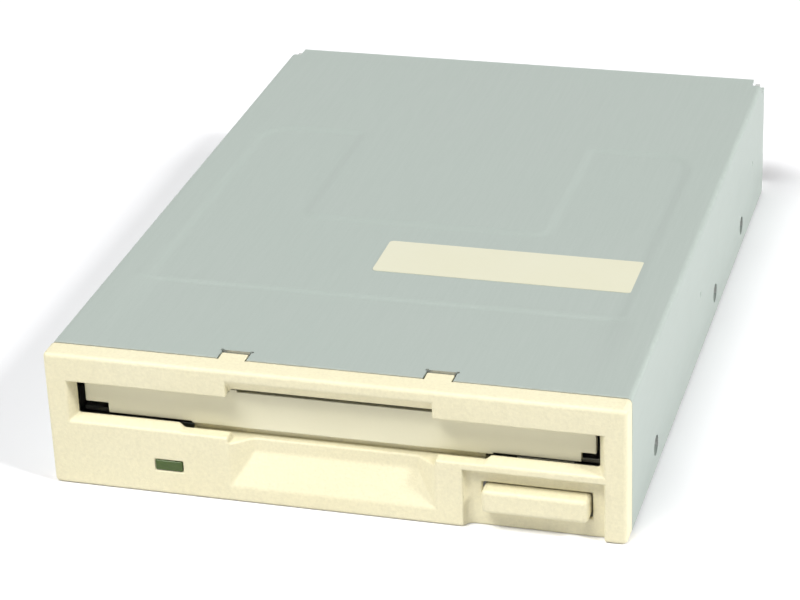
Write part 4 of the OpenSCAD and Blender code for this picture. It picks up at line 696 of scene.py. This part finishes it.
def carved(bm, cutters):
    """The shape with the cutters taken out of it."""
    body, tool = loose_object(bm, "carved_body"), loose_object(cutters, "carving_tool")
    cut = body.modifiers.new("carve", "BOOLEAN")
    cut.operation = "DIFFERENCE"
    cut.solver = "EXACT"
    cut.object = tool
    result = bmesh.new()
    result.from_object(body, bpy.context.evaluated_depsgraph_get())
    for made in (body, tool):
        mesh = made.data
        bpy.data.objects.remove(made)
        bpy.data.meshes.remove(mesh)
    if not result.faces:
        raise RuntimeError("nothing is left of the carved shape")
    return result


# Cover


def soft_step(value, width):
    """0 to 1 across a shoulder of that width."""
    share = min(1.0, max(0.0, value / width + 0.5))
    return share * share * (3.0 - 2.0 * share)


def round_box_gap(x, y, half_x, low_y, high_y, radius):
    """Distance inside a rounded rectangle, negative outside it."""
    middle, half_y = (low_y + high_y) / 2.0, (high_y - low_y) / 2.0
    out_x = abs(x) - half_x + radius
    out_y = abs(y - middle) - half_y + radius
    return radius - math.hypot(max(out_x, 0.0), max(out_y, 0.0)) - min(max(out_x, out_y), 0.0)


def pressed_drop(x, depth, s):
    """How far the pressing lies below the cover's rim."""
    far = 3.0 * s.press_corner
    front = COVER_LOW.y - FACE_Y
    ramp = min(1.0, max(0.0, (depth - front) / (s.ramp_end - front)))
    on_ramp = soft_step(s.press_half - abs(x), s.ramp_shoulder) * soft_step(s.ramp_end - depth, s.shoulder)
    field = round_box_gap(x, depth, s.press_half, s.ramp_end - far, s.press_end, s.press_corner)
    tongue = round_box_gap(x, depth, s.tongue_half, s.tongue_start, s.press_end + far, s.tongue_corner)
    on_field = (soft_step(field, s.shoulder) * soft_step(depth - s.ramp_end, s.shoulder)
                * (1.0 - soft_step(tongue, s.shoulder)))
    return s.press_step * max(2.0 * ramp * on_ramp, on_field)


def cut_lines(low, high, coarse, fine_spans, fine):
    """Positions from low to high, closer together inside the fine spans."""
    tiny = 1e-9
    out, here = [low], low
    while here < high - tiny:
        step = fine if any(a - tiny <= here < b for a, b in fine_spans) else coarse
        starts = [a for a, _ in fine_spans if here + tiny < a < here + step]
        here = min([here + step, high] + starts)
        out.append(here)
    return out


class DRIVE_OT_cover(bpy.types.Operator):
    """Build the folded cover with its pressed top, notches and side holes."""

    bl_idname = "drive.cover"
    bl_label = "Top cover"

    def execute(self, context):
        s = sizes()
        boxes, rounds = self.cutters(s)
        bm = carved(carved(self.folded_sheet(s), boxes), rounds)
        bm.normal_update()
        for face in bm.faces:
            # The cut edges at the front and the rear show bare zinc
            face.material_index = 1 if abs(face.normal.y) > 0.9 else 0
        cover = piece_from(bm, "cover_shell", "cover_paint", "top_cover", smooth_angle=50.0)
        cover.data.materials.append(finish("zinc_steel"))
        return {"FINISHED"}

    def folded_sheet(self, s):
        """The pressed sheet with its two bends and flanges."""
        flat_half = COVER_HIGH.x - s.bend
        top = COVER_HIGH.z
        wide, deep, fine, margin = 2.6 * MM, 3.0 * MM, 0.45 * MM, 1.3 * MM
        columns = cut_lines(0.0, flat_half, wide, [
            (s.tongue_half - s.tongue_corner - margin, s.tongue_half + margin),
            (s.press_half - s.press_corner - margin, s.press_half + s.ramp_shoulder / 2.0)], fine)
        columns = [-x for x in reversed(columns[1:])] + columns
        rows = cut_lines(COVER_LOW.y - FACE_Y, COVER_HIGH.y - FACE_Y, deep, [
            (s.ramp_end - margin, s.ramp_end + margin),
            (s.tongue_start - margin, s.tongue_start + s.tongue_corner + margin),
            (s.press_end - s.press_corner - margin, s.press_end + margin)], fine)
        bm = bmesh.new()
        bmesh.ops.create_grid(bm, x_segments=len(columns) - 1, y_segments=len(rows) - 1, size=1.0)
        for vert in bm.verts:
            x = columns[round((vert.co.x + 1.0) / 2.0 * (len(columns) - 1))]
            depth = rows[round((vert.co.y + 1.0) / 2.0 * (len(rows) - 1))]
            vert.co = (x, FACE_Y + depth, top - pressed_drop(x, depth, s))
        for side in (-1, 1):
            rim = [e for e in bm.edges
                   if e.is_boundary and all(abs(v.co.x - side * flat_half) < SAME_SPOT for v in e.verts)]
            rim = bend_on(bm, rim, (side * flat_half, 0.0, top - s.bend), side * 90.0, steps=6, axis=ALONG_Y)
            draw_on(bm, rim, (0.0, 0.0, COVER_LOW.z - top + s.bend))
        bmesh.ops.remove_doubles(bm, verts=bm.verts, dist=SAME_SPOT)
        bmesh.ops.recalc_face_normals(bm, faces=bm.faces)
        if sum(face.normal.z for face in bm.faces) < 0:
            bmesh.ops.reverse_faces(bm, faces=bm.faces)
        bmesh.ops.solidify(bm, geom=bm.faces, thickness=s.sheet)
        return bm

    def cutters(self, s):
        """Square and round cutters for the tab notches, rear corners, side holes and dimples."""
        boxes, rounds = bmesh.new(), bmesh.new()
        top, side_x, rear = COVER_HIGH.z, COVER_HIGH.x, COVER_HIGH.y
        notch_deep, through = 3.0 * MM, 4.0 * MM
        corner_wide, corner_long, corner_deep = 2.2 * MM, 3.2 * MM, 1.6 * MM
        for side in (-1, 1):
            middle = side * s.notch_x
            add_box(boxes, Vector((middle - s.notch_half, COVER_LOW.y - MM, top - notch_deep)),
                    Vector((middle + s.notch_half, FACE_Y + s.notch_end, top + MM)))
            near, far = sorted((side * (side_x - corner_wide), side * (side_x + MM)))
            add_box(boxes, Vector((near, rear - corner_long, top - corner_deep)),
                    Vector((far, rear + MM, top + MM)))
            for edge in (-1, 1):
                place = Matrix.Translation((middle + edge * s.notch_half, FACE_Y + s.notch_end, top))
                add_rod(rounds, place, s.notch_relief, through, sides=20)
            for depth in SIDE_HOLES:
                place = Matrix.Translation(spot(side * side_x / MM, depth, SIDE_HOLE_HEIGHT))
                add_rod(rounds, place @ turned(90.0, "Y"), s.side_hole, through, sides=40)
            for depth in DIMPLES:
                place = Matrix.Translation(spot(side * (side_x / MM + DIMPLE_OUT), depth, DIMPLE_HEIGHT))
                bmesh.ops.create_icosphere(rounds, subdivisions=3, radius=s.dimple, matrix=place)
        return boxes, rounds


class DRIVE_OT_label(bpy.types.Operator):
    """Lay the bare label on the cover's pressed field."""

    bl_idname = "drive.label"
    bl_label = "Bare label"

    def execute(self, context):
        s = sizes()
        bm = bmesh.new()
        bmesh.ops.create_cube(bm, size=1.0)
        bmesh.ops.scale(bm, vec=(s.label_width, s.label_depth, s.label_thick), verts=bm.verts)
        upright = [e for e in bm.edges if abs(e.verts[0].co.z - e.verts[1].co.z) > s.label_thick / 2.0]
        rounded(bm, upright, s.label_corner, segments=5)
        middle = spot(*LABEL_PLACE, 0.0)
        middle.z = COVER_HIGH.z - s.press_step + s.label_thick / 2.0
        bmesh.ops.translate(bm, vec=middle, verts=bm.verts)
        piece_from(bm, "bare_label", "label_film")
        return {"FINISHED"}


# Front


class DRIVE_OT_front(bpy.types.Operator):
    """Build the moulded front, its flap, button and lamp with rounded edges."""

    bl_idname = "drive.front"
    bl_label = "Moulded front"

    def execute(self, context):
        s = sizes()
        edge = s.plastic_edge
        soft_piece("front_bezel", "bezel_front", edge, "bezel_plastic")
        soft_piece("dust_flap", "flap_door", edge * 0.7, "flap_plastic")
        soft_piece("eject_button", "button_cap", edge, "button_plastic")
        soft_piece("led_lamp", "lamp_lens", edge * 0.4, "lens_green")
        self.tab_crowns(s)
        self.sill(s)
        return {"FINISHED"}

    def tab_crowns(self, s):
        """Crowns that bring the bezel's two top tabs level with its rim."""
        bm = bmesh.new()
        below_rim = 0.03 * MM
        top = COVER_HIGH.z - below_rim
        for side in (-1, 1):
            middle = side * s.notch_x
            add_box(bm, Vector((middle - s.tab_half, COVER_LOW.y - s.plastic_edge, COVER_HIGH.z - s.sheet)),
                    Vector((middle + s.tab_half, FACE_Y + s.tab_end, top)))
        rounded(bm, list(bm.edges), s.sheet_edge)
        piece_from(bm, "tab_crowns", "bezel_plastic", smooth_angle=65.0, even=True)

    def sill(self, s):
        """Low ridge with a round top on the bezel's ledge, just behind the flap's foot."""
        bm = bmesh.new()
        start = FACE_Y + s.sill_start
        add_box(bm, Vector((-s.sill_half, start, s.sill_low)),
                Vector((s.sill_half, start + s.sill_thick, s.sill_high)))
        upper = [e for e in bm.edges if all(v.co.z > s.sill_high - 0.1 * MM for v in e.verts)]
        rounded(bm, upper, s.sill_thick * 0.45, segments=4)
        piece_from(bm, "flap_sill", "bezel_plastic", smooth_angle=65.0, even=True)


# Springs


def wound_wire(radius, wire, rise, curls, leg=0.0, lead=0.0):
    """A round wire wound up the z axis, with straight legs or leads along the axis at its ends."""
    bm = bmesh.new()
    upright = Matrix.Translation((radius, 0.0, 0.0)) @ turned(90.0, "X")
    bmesh.ops.create_circle(bm, cap_ends=False, segments=10, radius=wire, matrix=upright)
    first = list(bm.edges)
    steps = curls * CURL_STEPS
    wound = bmesh.ops.spin(bm, geom=list(bm.verts) + first, cent=ORIGIN, axis=ALONG_Z,
                           dvec=(0.0, 0.0, rise / steps), angle=math.tau * curls, steps=steps)
    last = kinds(wound["geom_last"], BMEdge)
    way = Vector((0.0, leg, 0.0))
    if lead > 0.0:
        curve = lead * 0.6
        first = bend_on(bm, first, (radius, 0.0, -curve), 90.0, steps=5)
        last = bend_on(bm, last, (radius, 0.0, rise + curve), 90.0, steps=5)
        way = Vector((0.0, 0.0, lead - curve))
    for rim, out in ((first, -way), (last, way)):
        bmesh.ops.edgeloop_fill(bm, edges=draw_on(bm, rim, out))
    bmesh.ops.recalc_face_normals(bm, faces=bm.faces)
    return bm


class DRIVE_OT_springs(bpy.types.Operator):
    """Wind the eject, flap, latch and arm springs."""

    bl_idname = "drive.springs"
    bl_label = "Springs"

    def execute(self, context):
        self.eject_pair()
        # Each twist spring: where it sits and how it is turned, its radius, wire, rise, curls and legs
        for node, place, turn, radius, wire, rise, curls, leg in (
                ("flap_spring", (-45.5, 4.5, 19.6), turned(-90.0, "Y") @ turned(90.0, "Z"),
                 1.25, 0.15, 1.6, 2, 2.0),
                ("latch_spring", (-38.0, 72.0, 21.52), Matrix.Identity(4), 2.2, 0.2, 1.65, 2, 3.0),
                ("arm_spring", (5.6, 123.0, 18.8), turned(90.0, "Y") @ turned(200.0, "Z"),
                 1.6, 0.2, 2.7, 3, 3.0)):
            bm = wound_wire(radius * MM, wire * MM, rise * MM, curls, leg=leg * MM)
            bmesh.ops.transform(bm, matrix=Matrix.Translation(spot(*place)) @ turn, verts=bm.verts)
            piece_from(bm, node + "_wire", "bright_steel", node, smooth_angle=60.0)
        return {"FINISHED"}

    def eject_pair(self):
        """The two long springs of the eject plate, wound at one length; they are not made to shorten as it
        slides.
        """
        beside, height, radius, wire, curls = 39.3, 10.7, 1.2, 0.2, 18
        front, rear, travel, gap, lead = 34.0, 62.0, 5.0, 0.1, 0.6
        rise = rear - front - 2.0 * (gap + lead)
        bm = wound_wire(radius * MM, wire * MM, rise * MM, curls, lead=lead * MM)
        place = Matrix.Translation(spot(beside, front + gap + lead, height)) @ turned(-90.0, "X")
        bmesh.ops.transform(bm, matrix=place, verts=bm.verts)
        other = bmesh.ops.duplicate(bm, geom=list(bm.verts) + list(bm.edges) + list(bm.faces))["geom"]
        bmesh.ops.translate(bm, vec=(-2.0 * beside * MM, 0.0, 0.0), verts=kinds(other, BMVert))
        pair = piece_from(bm, "eject_spring_pair", "bright_steel", "eject_springs", smooth_angle=60.0)
        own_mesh(pair)


# Motor


class DRIVE_OT_winding(bpy.types.Operator):
    """Wind the motor's coils, with the turns of their wire."""

    bl_idname = "drive.winding"
    bl_label = "Motor winding"

    def execute(self, context):
        s = sizes()
        low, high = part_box("stator_coils")
        middle, height = (low + high) / 2.0, high.z - low.z
        slim, corner = 0.93, 0.26
        bm = bmesh.new()
        stand = Matrix.Translation((s.winding_start, 0.0, middle.z)) @ turned(90.0, "Y")
        verts = add_panel(bm, height * slim, s.winding_half * 2.0 * slim, Matrix.Identity(4))
        rounded(bm, verts, height * corner, segments=4, affect="VERTICES")
        bmesh.ops.transform(bm, matrix=stand, verts=bm.verts)
        self.lay_turns(bm, s, list(bm.faces)[0])
        bmesh.ops.recalc_face_normals(bm, faces=bm.faces)
        repeated(bm, list(bm.verts), s.pole_count, math.tau / s.pole_count)
        bmesh.ops.translate(bm, vec=(middle.x, middle.y, 0.0), verts=bm.verts)
        piece_from(bm, "motor_winding", "copper_wire", "stator_coils", smooth_angle=60.0)
        return {"FINISHED"}

    def lay_turns(self, bm, s, face):
        """Draws the coil's end face out one half turn of wire at a time."""
        half, bulge = (s.winding_end - s.winding_start) / s.winding_turns / 2.0, 1.07
        for swell in (bulge, 1.0 / bulge) * s.winding_turns:
            face = push_out(bm, face, (half, 0.0, 0.0))
            bmesh.ops.scale(bm, vec=(1.0, swell, swell), space=Matrix.Translation(-face.calc_center_median()),
                            verts=face.verts)


class DRIVE_OT_ribbon(bpy.types.Operator):
    """Bend the motor's flat ribbon from its board down to the main board."""

    bl_idname = "drive.ribbon"
    bl_label = "Motor ribbon"

    def execute(self, context):
        s = sizes()
        low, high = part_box("motor_ribbon")
        thick, straight, curve, ridge = s.ribbon_thick, 6.3 * MM, 1.5 * MM, 0.04 * MM
        degrees, steps = 40.0, 6
        slope = math.radians(degrees)
        top, bottom = high.z - thick, low.z + thick
        bend_y = low.y + straight
        bm = bmesh.new()
        bmesh.ops.create_grid(bm, x_segments=2 * s.ribbon_wires, y_segments=1, size=0.5)
        bmesh.ops.scale(bm, vec=(high.x - low.x, bend_y - low.y, 1.0), verts=bm.verts)
        bmesh.ops.translate(bm, vec=((low.x + high.x) / 2.0, (low.y + bend_y) / 2.0, top), verts=bm.verts)
        rim = [e for e in bm.edges if all(abs(v.co.y - bend_y) < SAME_SPOT for v in e.verts)]
        rim = bend_on(bm, rim, (0.0, bend_y, top - curve), -degrees, steps)
        fall = (top - bottom) - 2.0 * curve * (1.0 - math.cos(slope))
        run = fall / math.tan(slope)
        rim = draw_on(bm, rim, (0.0, run, -fall))
        foot_y = bend_y + 2.0 * curve * math.sin(slope) + run
        rim = bend_on(bm, rim, (0.0, foot_y, bottom + curve), degrees, steps)
        draw_on(bm, rim, (0.0, high.y - foot_y, 0.0))
        bmesh.ops.remove_doubles(bm, verts=bm.verts, dist=SAME_SPOT)
        bmesh.ops.recalc_face_normals(bm, faces=bm.faces)
        bm.normal_update()
        pitch = (high.x - low.x) / (2.0 * s.ribbon_wires)
        for vert in bm.verts:
            if round((vert.co.x - low.x) / pitch) % 2:
                vert.co += vert.normal * ridge
        bmesh.ops.solidify(bm, geom=bm.faces, thickness=thick)
        piece_from(bm, "motor_ribbon_strip", "ribbon_film", "motor_ribbon",
                   smooth_angle=50.0)
        return {"FINISHED"}


# Positioner


class DRIVE_OT_lead_screw(bpy.types.Operator):
    """Turn the lead screw with its helical groove."""

    bl_idname = "drive.lead_screw"
    bl_label = "Lead screw"

    def execute(self, context):
        s = sizes()
        low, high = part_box("lead_screw")
        middle, whole = (low + high) / 2.0, high.y - low.y
        radius, journal, point, sunk = (high.x - low.x) / 2.0, 0.8 * MM, 0.2 * MM, 0.1 * MM
        start, end = 1.5 * MM, 28.1 * MM
        core = radius - s.thread_depth
        along = Matrix.Translation((middle.x, low.y, middle.z)) @ turned(-90.0, "X")
        bm = bmesh.new()
        profile = [(0.0, 0.0), (journal - point, 0.0), (journal, point), (journal, start), (core, start),
                   (core, end), (journal, end), (journal, whole - point), (journal - point, whole),
                   (0.0, whole)]
        add_turned(bm, profile, along)
        self.add_thread(bm, core - sunk, radius, start, end, s.thread_lead, along)
        piece_from(bm, "grooved_screw", "bright_steel", "lead_screw")
        return {"FINISHED"}

    def add_thread(self, bm, inner, outer, start, end, lead, along):
        """A wide raised land that winds along the core and leaves the groove between its turns."""
        known = set(bm.verts)
        land_share = 0.68
        land = lead * land_share
        turns = (end - start - land) / lead
        stand = Matrix.Translation(((inner + outer) / 2.0, 0.0, start + land / 2.0)) @ turned(90.0, "X")
        verts = add_panel(bm, outer - inner, land, stand)
        bmesh.ops.delete(bm, geom=faces_at(verts), context="FACES_ONLY")
        rim = edges_at(verts)
        steps = round(turns * THREAD_STEPS)
        wound = bmesh.ops.spin(bm, geom=verts + rim, cent=ORIGIN, axis=ALONG_Z,
                               dvec=(0.0, 0.0, lead * turns / steps), angle=math.tau * turns, steps=steps)
        for ring in (rim, kinds(wound["geom_last"], BMEdge)):
            bmesh.ops.edgeloop_fill(bm, edges=ring)
        made = added(bm, known)
        bmesh.ops.recalc_face_normals(bm, faces=faces_at(made))
        bmesh.ops.transform(bm, matrix=along, verts=made)


# Boards


class DRIVE_OT_packages(bpy.types.Operator):
    """Build the chips with their legs and the round capacitors on the main board."""

    bl_idname = "drive.packages"
    bl_label = "Chips and capacitors"

    def execute(self, context):
        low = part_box("main_board")[0]
        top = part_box("board_chips")[0].z
        bodies, legs, cans = bmesh.new(), bmesh.new(), bmesh.new()
        # Each chip: its place on the board, its size, the sides with legs and the legs on each side
        for x, depth, size, sides, per_side in (
                (-20.0, 23.0, (14.0, 14.0, 2.2), (0, 1, 2, 3), 14), (0.0, 18.0, (10.0, 8.0, 1.8), (0, 2), 10),
                (30.0, 27.0, (8.0, 3.6, 3.0), (0,), 3), (-38.0, 20.0, (6.0, 5.0, 1.6), (0, 2), 6)):
            middle = Vector((x * MM, low.y + depth * MM, top))
            self.add_package(bodies, middle, Vector(size) * MM)
            for side in sides:
                self.add_legs(legs, middle, Vector(size) * MM, side, per_side)
        can = in_metres([(0.0, 0.0), (2.0, 0.0), (2.0, 0.5), (1.85, 0.65), (1.85, 0.85), (2.0, 1.0),
                         (2.0, 3.2), (1.8, 3.4), (0.0, 3.4)])
        for x, depth in CAPACITORS:
            add_turned(cans, can, Matrix.Translation((x * MM, low.y + depth * MM, top)))
        piece_from(bodies, "chip_packages", "black_plastic", "board_chips")
        piece_from(legs, "chip_legs", "solder_tin")
        piece_from(cans, "round_capacitors", "bright_steel")
        return {"FINISHED"}

    def add_package(self, bm, middle, size):
        """One moulded package with rounded edges, just above the board."""
        lift, edge = 0.12 * MM, 0.22 * MM
        low = Vector((-size.x / 2.0, -size.y / 2.0, lift))
        high = Vector((size.x / 2.0, size.y / 2.0, size.z))
        made = add_box(bm, middle + low, middle + high)
        rounded(bm, edges_at(made), edge)

    def add_legs(self, bm, middle, size, side, per_side):
        """A row of bent legs along one side of a package."""
        known = set(bm.verts)
        thick, sunk, reach, slant, lift = 0.12 * MM, 0.1 * MM, 0.45 * MM, 0.25 * MM, 0.08 * MM
        width, half = (size.x, size.y / 2.0) if side % 2 == 0 else (size.y, size.x / 2.0)
        pitch = width / (per_side + 1.0)
        drop = size.z * 0.5 - lift
        place = Matrix.Translation((-width / 2.0 + pitch, -half + sunk, size.z * 0.5)) @ turned(90.0, "X")
        wide = min(0.42 * pitch, 0.5 * MM)
        face = add_panel(bm, wide, thick, place)[0].link_faces[0]
        for way in ((0.0, -reach, 0.0), (0.0, -slant, -drop), (0.0, -reach, 0.0)):
            face = push_out(bm, face, way)
        made = added(bm, known)
        bmesh.ops.recalc_face_normals(bm, faces=faces_at(made))
        repeated(bm, made, per_side, step=(pitch, 0.0, 0.0))
        place = Matrix.Translation(middle) @ turned(90.0 * side, "Z")
        bmesh.ops.transform(bm, matrix=place, verts=added(bm, known))


class DRIVE_OT_solder(bpy.types.Operator):
    """Set the solder points under the two boards."""

    bl_idname = "drive.solder"
    bl_label = "Solder points"

    def execute(self, context):
        main, motor = bmesh.new(), bmesh.new()
        low, motor_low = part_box("main_board")[0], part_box("motor_board")[0]
        lead_pitch, motor_pitch = 1.8, 1.6
        # Each connector: its columns, their pitch and how far its rows sit behind the front of its pins
        for node, columns, pitch, rows in (
                ("data_pins", 17, 2.54, (0.32, 1.82)),
                ("power_pins", 4, 2.5, (0.32,))):
            corner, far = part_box(node)
            first = (corner.x + far.x - (columns - 1) * pitch * MM) / 2.0
            for setback in rows:
                self.add_row(main, (first, corner.y + setback * MM, low.z), pitch, columns)
        for x, depth in CAPACITORS:
            first = (x - lead_pitch / 2.0) * MM
            self.add_row(main, (first, low.y + depth * MM, low.z), lead_pitch, 2)
        # Each row on the motor board: where it starts and its points
        for x, depth, columns in ((18.0, 51.5, 8), (-9.0, 52.0, 5), (-31.0, 8.0, 3)):
            self.add_row(motor, (x * MM, motor_low.y + depth * MM, motor_low.z), motor_pitch, columns)
        piece_from(main, "main_board_solder", "solder_tin")
        piece_from(motor, "motor_board_solder", "solder_tin")
        return {"FINISHED"}

    def add_row(self, bm, start, pitch, columns):
        """A row of small cones with rounded tips, hanging under a board, with its pitch in millimetres."""
        cone = in_metres([(0.75, 0.03), (0.75, 0.0), (0.42, -0.22), (0.26, -0.55), (0.12, -0.68),
                          (0.0, -0.7)])
        made = add_turned(bm, cone, Matrix.Translation(start))
        repeated(bm, made, columns, step=(pitch * MM, 0.0, 0.0))


# Other pieces


class DRIVE_OT_mechanism(bpy.types.Operator):
    """Round the edges of the sheet, cast and moulded pieces of the mechanism."""

    bl_idname = "drive.mechanism"
    bl_label = "Mechanism"

    def execute(self, context):
        edge = sizes().sheet_edge
        for node, name, radius, finish_name in (
                ("chassis", "chassis_sheet", edge, "zinc_steel"),
                ("eject_plate", "eject_sheet", edge, "zinc_steel"),
                ("disk_holder", "holder_sheet", edge, "zinc_steel"),
                ("latch_lever", "latch_sheet", edge, "zinc_steel"),
                ("rotor_cup", "rotor_shell", 0.25 * MM, "zinc_steel"),
                ("hub_table", "hub_disc", 0.15 * MM, "zinc_steel"),
                ("stepper_bracket", "stepper_frame", edge, "zinc_steel"),
                ("rod_clamps", "rod_holders", edge, "zinc_steel"),
                ("stepper_case", "stepper_can", 0.25 * MM, "bright_steel"),
                ("head_carriage", "carriage_casting", 0.2 * MM, "cast_alloy"),
                ("head_arm", "arm_casting", 0.2 * MM, "cast_alloy"),
                ("data_connector", "data_socket", 0.2 * MM, "black_plastic"),
                ("power_connector", "power_socket", 0.2 * MM, "cream_plastic"),
                ("sense_switches", "switch_bodies", 0.2 * MM, "black_plastic"),
                ("index_sensor", "index_package", 0.15 * MM, "black_plastic"),
                ("track_zero_sensor", "track_zero_fork", 0.2 * MM, "black_plastic"),
                ("lower_head", "lower_head_block", 0.25 * MM, "black_plastic"),
                ("upper_head", "upper_head_block", 0.25 * MM, "black_plastic"),
                ("motor_screws", "motor_screw_heads", edge, "bright_steel"),
                ("bearing_screws", "bearing_screw_heads", edge, "bright_steel"),
                ("board_screws", "board_screw_heads", edge, "bright_steel"),
                ("bracket_screws", "bracket_screw_heads", edge, "bright_steel"),
                ("clamp_screws", "clamp_screw_heads", edge, "bright_steel")):
            soft_piece(node, name, radius, finish_name)
        return {"FINISHED"}


class DRIVE_OT_finishes(bpy.types.Operator):
    """Dress the CAD pieces that keep their own shapes."""

    bl_idname = "drive.finishes"
    bl_label = "Finishes"

    def execute(self, context):
        dress("bright_steel", "holder_pins", "latch_stud", "latch_pin", "spindle_shaft", "drive_pin",
              "guide_rod", "arm_hinge_pin", "led_leads", "stator_core")
        dress("bearing_bronze", "spindle_bearing", "follower_pin")
        dress("contact_metal", "data_pins", "power_pins")
        dress("board_green", "main_board")
        dress("board_brown", "motor_board")
        dress("cream_plastic", "write_plunger", "density_plunger", "disk_plunger")
        dress("ferrite", "rotor_magnet", "stepper_rotor")
        return {"FINISHED"}


# Stage


class DRIVE_OT_stage(bpy.types.Operator):
    """Set the pale floor, the soft lights and the camera."""

    bl_idname = "drive.stage"
    bl_label = "Stage"

    def execute(self, context):
        scene = context.scene
        p = scene.drive_stage
        scene.view_settings.view_transform = "Standard"
        floor_half, floor_gap = 6.0, 0.02 * MM
        bm = bmesh.new()
        bmesh.ops.create_grid(bm, x_segments=1, y_segments=1, size=floor_half)
        bmesh.ops.translate(bm, vec=(0.0, 0.0, CAD_BOX[0][2] - floor_gap), verts=bm.verts)
        floor = loose_object(bm, "floor")
        floor.data.materials.append(self.floor_material(p))
        # Each light: its power, its width and height, and its place
        for light in (("key_light", p.key, (1.2, 0.48), (-0.50, -0.95, 1.72)),
                      ("side_light", p.side, (0.3, 0.3), (1.42, -0.46, 1.34)),
                      ("rear_light", p.rear, (0.8, 0.6), (1.88, 0.45, 0.46)),
                      ("front_light", p.front, (0.8, 0.8), (-1.00, -1.60, 0.70))):
            self.lamp(*light)
        self.world_light(scene, p)
        camera = bpy.data.objects.new("camera", bpy.data.cameras.new("camera"))
        camera.data.sensor_fit = "HORIZONTAL"
        camera.data.sensor_width = 36.0
        camera.data.lens = p.lens
        camera.data.clip_start = 0.01
        camera.data.clip_end = 50.0
        camera.location = p.place
        camera.rotation_euler = p.turn
        scene.collection.objects.link(camera)
        scene.camera = camera
        return {"FINISHED"}

    def lamp(self, name, energy, size, place):
        """One soft light, wide and tall as given, aimed at the drive."""
        data = bpy.data.lights.new(name, "AREA")
        data.energy = energy
        data.shape = "RECTANGLE"
        data.size, data.size_y = size
        made = bpy.data.objects.new(name, data)
        made.location = place
        made.rotation_euler = (-Vector(place)).to_track_quat("-Z", "Y").to_euler()
        bpy.context.scene.collection.objects.link(made)

    def seen_directly(self, tree):
        """1 for rays from the camera, from gloss and through clear pieces."""
        paths = tree.nodes.new("ShaderNodeLightPath").outputs
        seen = math_node(tree, "ADD", paths["Is Camera Ray"], paths["Is Glossy Ray"], clamp=True)
        return math_node(tree, "ADD", seen, paths["Is Transmission Ray"], clamp=True)

    def floor_material(self, p):
        """Pale floor that is seen as white, more so far from the lights, with the drive's shadow kept."""
        material = bpy.data.materials.new("pale_floor")
        material.use_nodes = True
        tree = material.node_tree
        tree.nodes.clear()
        near, far, tint = 0.35, 1.4, (1.0, 0.985, 1.0, 1.0)
        place = tree.nodes.new("ShaderNodeTexCoord").outputs["Object"]
        away = add(tree, "ShaderNodeVectorMath", {0: place}, operation="LENGTH").outputs["Value"]
        rise = spread(tree, away, near, far, p.glow, 1.0, interpolation_type="SMOOTHSTEP")
        bright = math_node(tree, "MULTIPLY", self.seen_directly(tree), rise)
        matte = add(tree, "ShaderNodeBsdfDiffuse", {"Color": (*p.floor, 1.0)})
        glow = add(tree, "ShaderNodeEmission", {"Color": tint, "Strength": bright})
        both = add(tree, "ShaderNodeAddShader", {0: matte.outputs[0], 1: glow.outputs[0]})
        add(tree, "ShaderNodeOutputMaterial", {"Surface": both.outputs[0]})
        return material

    def world_light(self, scene, p):
        """Even light all round, seen as white directly and in reflections."""
        world = bpy.data.worlds.new("room")
        world.use_nodes = True
        tree = world.node_tree
        tree.nodes.clear()
        tint = (0.97, 0.98, 1.0, 1.0)
        room = add(tree, "ShaderNodeBackground", {"Color": tint, "Strength": p.room})
        white = add(tree, "ShaderNodeBackground", {"Color": WHITE, "Strength": 1.0})
        mix = add(tree, "ShaderNodeMixShader",
                  {"Fac": self.seen_directly(tree), 1: room.outputs[0], 2: white.outputs[0]})
        add(tree, "ShaderNodeOutputWorld", {"Surface": mix.outputs[0]})
        scene.world = world


class DRIVE_PT_panel(bpy.types.Panel):
    """The drive's pieces and stage."""

    bl_idname = "DRIVE_PT_panel"
    bl_label = "Disk drive"
    bl_space_type = "VIEW_3D"
    bl_region_type = "UI"
    bl_category = "Disk drive"

    def draw(self, context):
        for operator in OPERATORS:
            self.layout.operator(operator.bl_idname)


OPERATORS = (DRIVE_OT_stage, DRIVE_OT_cover, DRIVE_OT_label, DRIVE_OT_front, DRIVE_OT_springs,
             DRIVE_OT_winding, DRIVE_OT_ribbon, DRIVE_OT_lead_screw, DRIVE_OT_packages, DRIVE_OT_solder,
             DRIVE_OT_mechanism, DRIVE_OT_finishes)
CLASSES = (DriveSizes, DriveColours, DriveStage) + OPERATORS + (DRIVE_PT_panel,)


def register():
    for cls in CLASSES:
        bpy.utils.register_class(cls)
    bpy.types.Scene.drive_sizes = PointerProperty(type=DriveSizes)
    bpy.types.Scene.drive_colours = PointerProperty(type=DriveColours)
    bpy.types.Scene.drive_stage = PointerProperty(type=DriveStage)


def unregister():
    del bpy.types.Scene.drive_stage
    del bpy.types.Scene.drive_colours
    del bpy.types.Scene.drive_sizes
    for cls in reversed(CLASSES):
        bpy.utils.unregister_class(cls)


def main():
    register()
    for operator in OPERATORS:
        group, name = operator.bl_idname.split(".")
        getattr(getattr(bpy.ops, group), name)()
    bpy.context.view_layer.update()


if __name__ == "__main__":
    main()
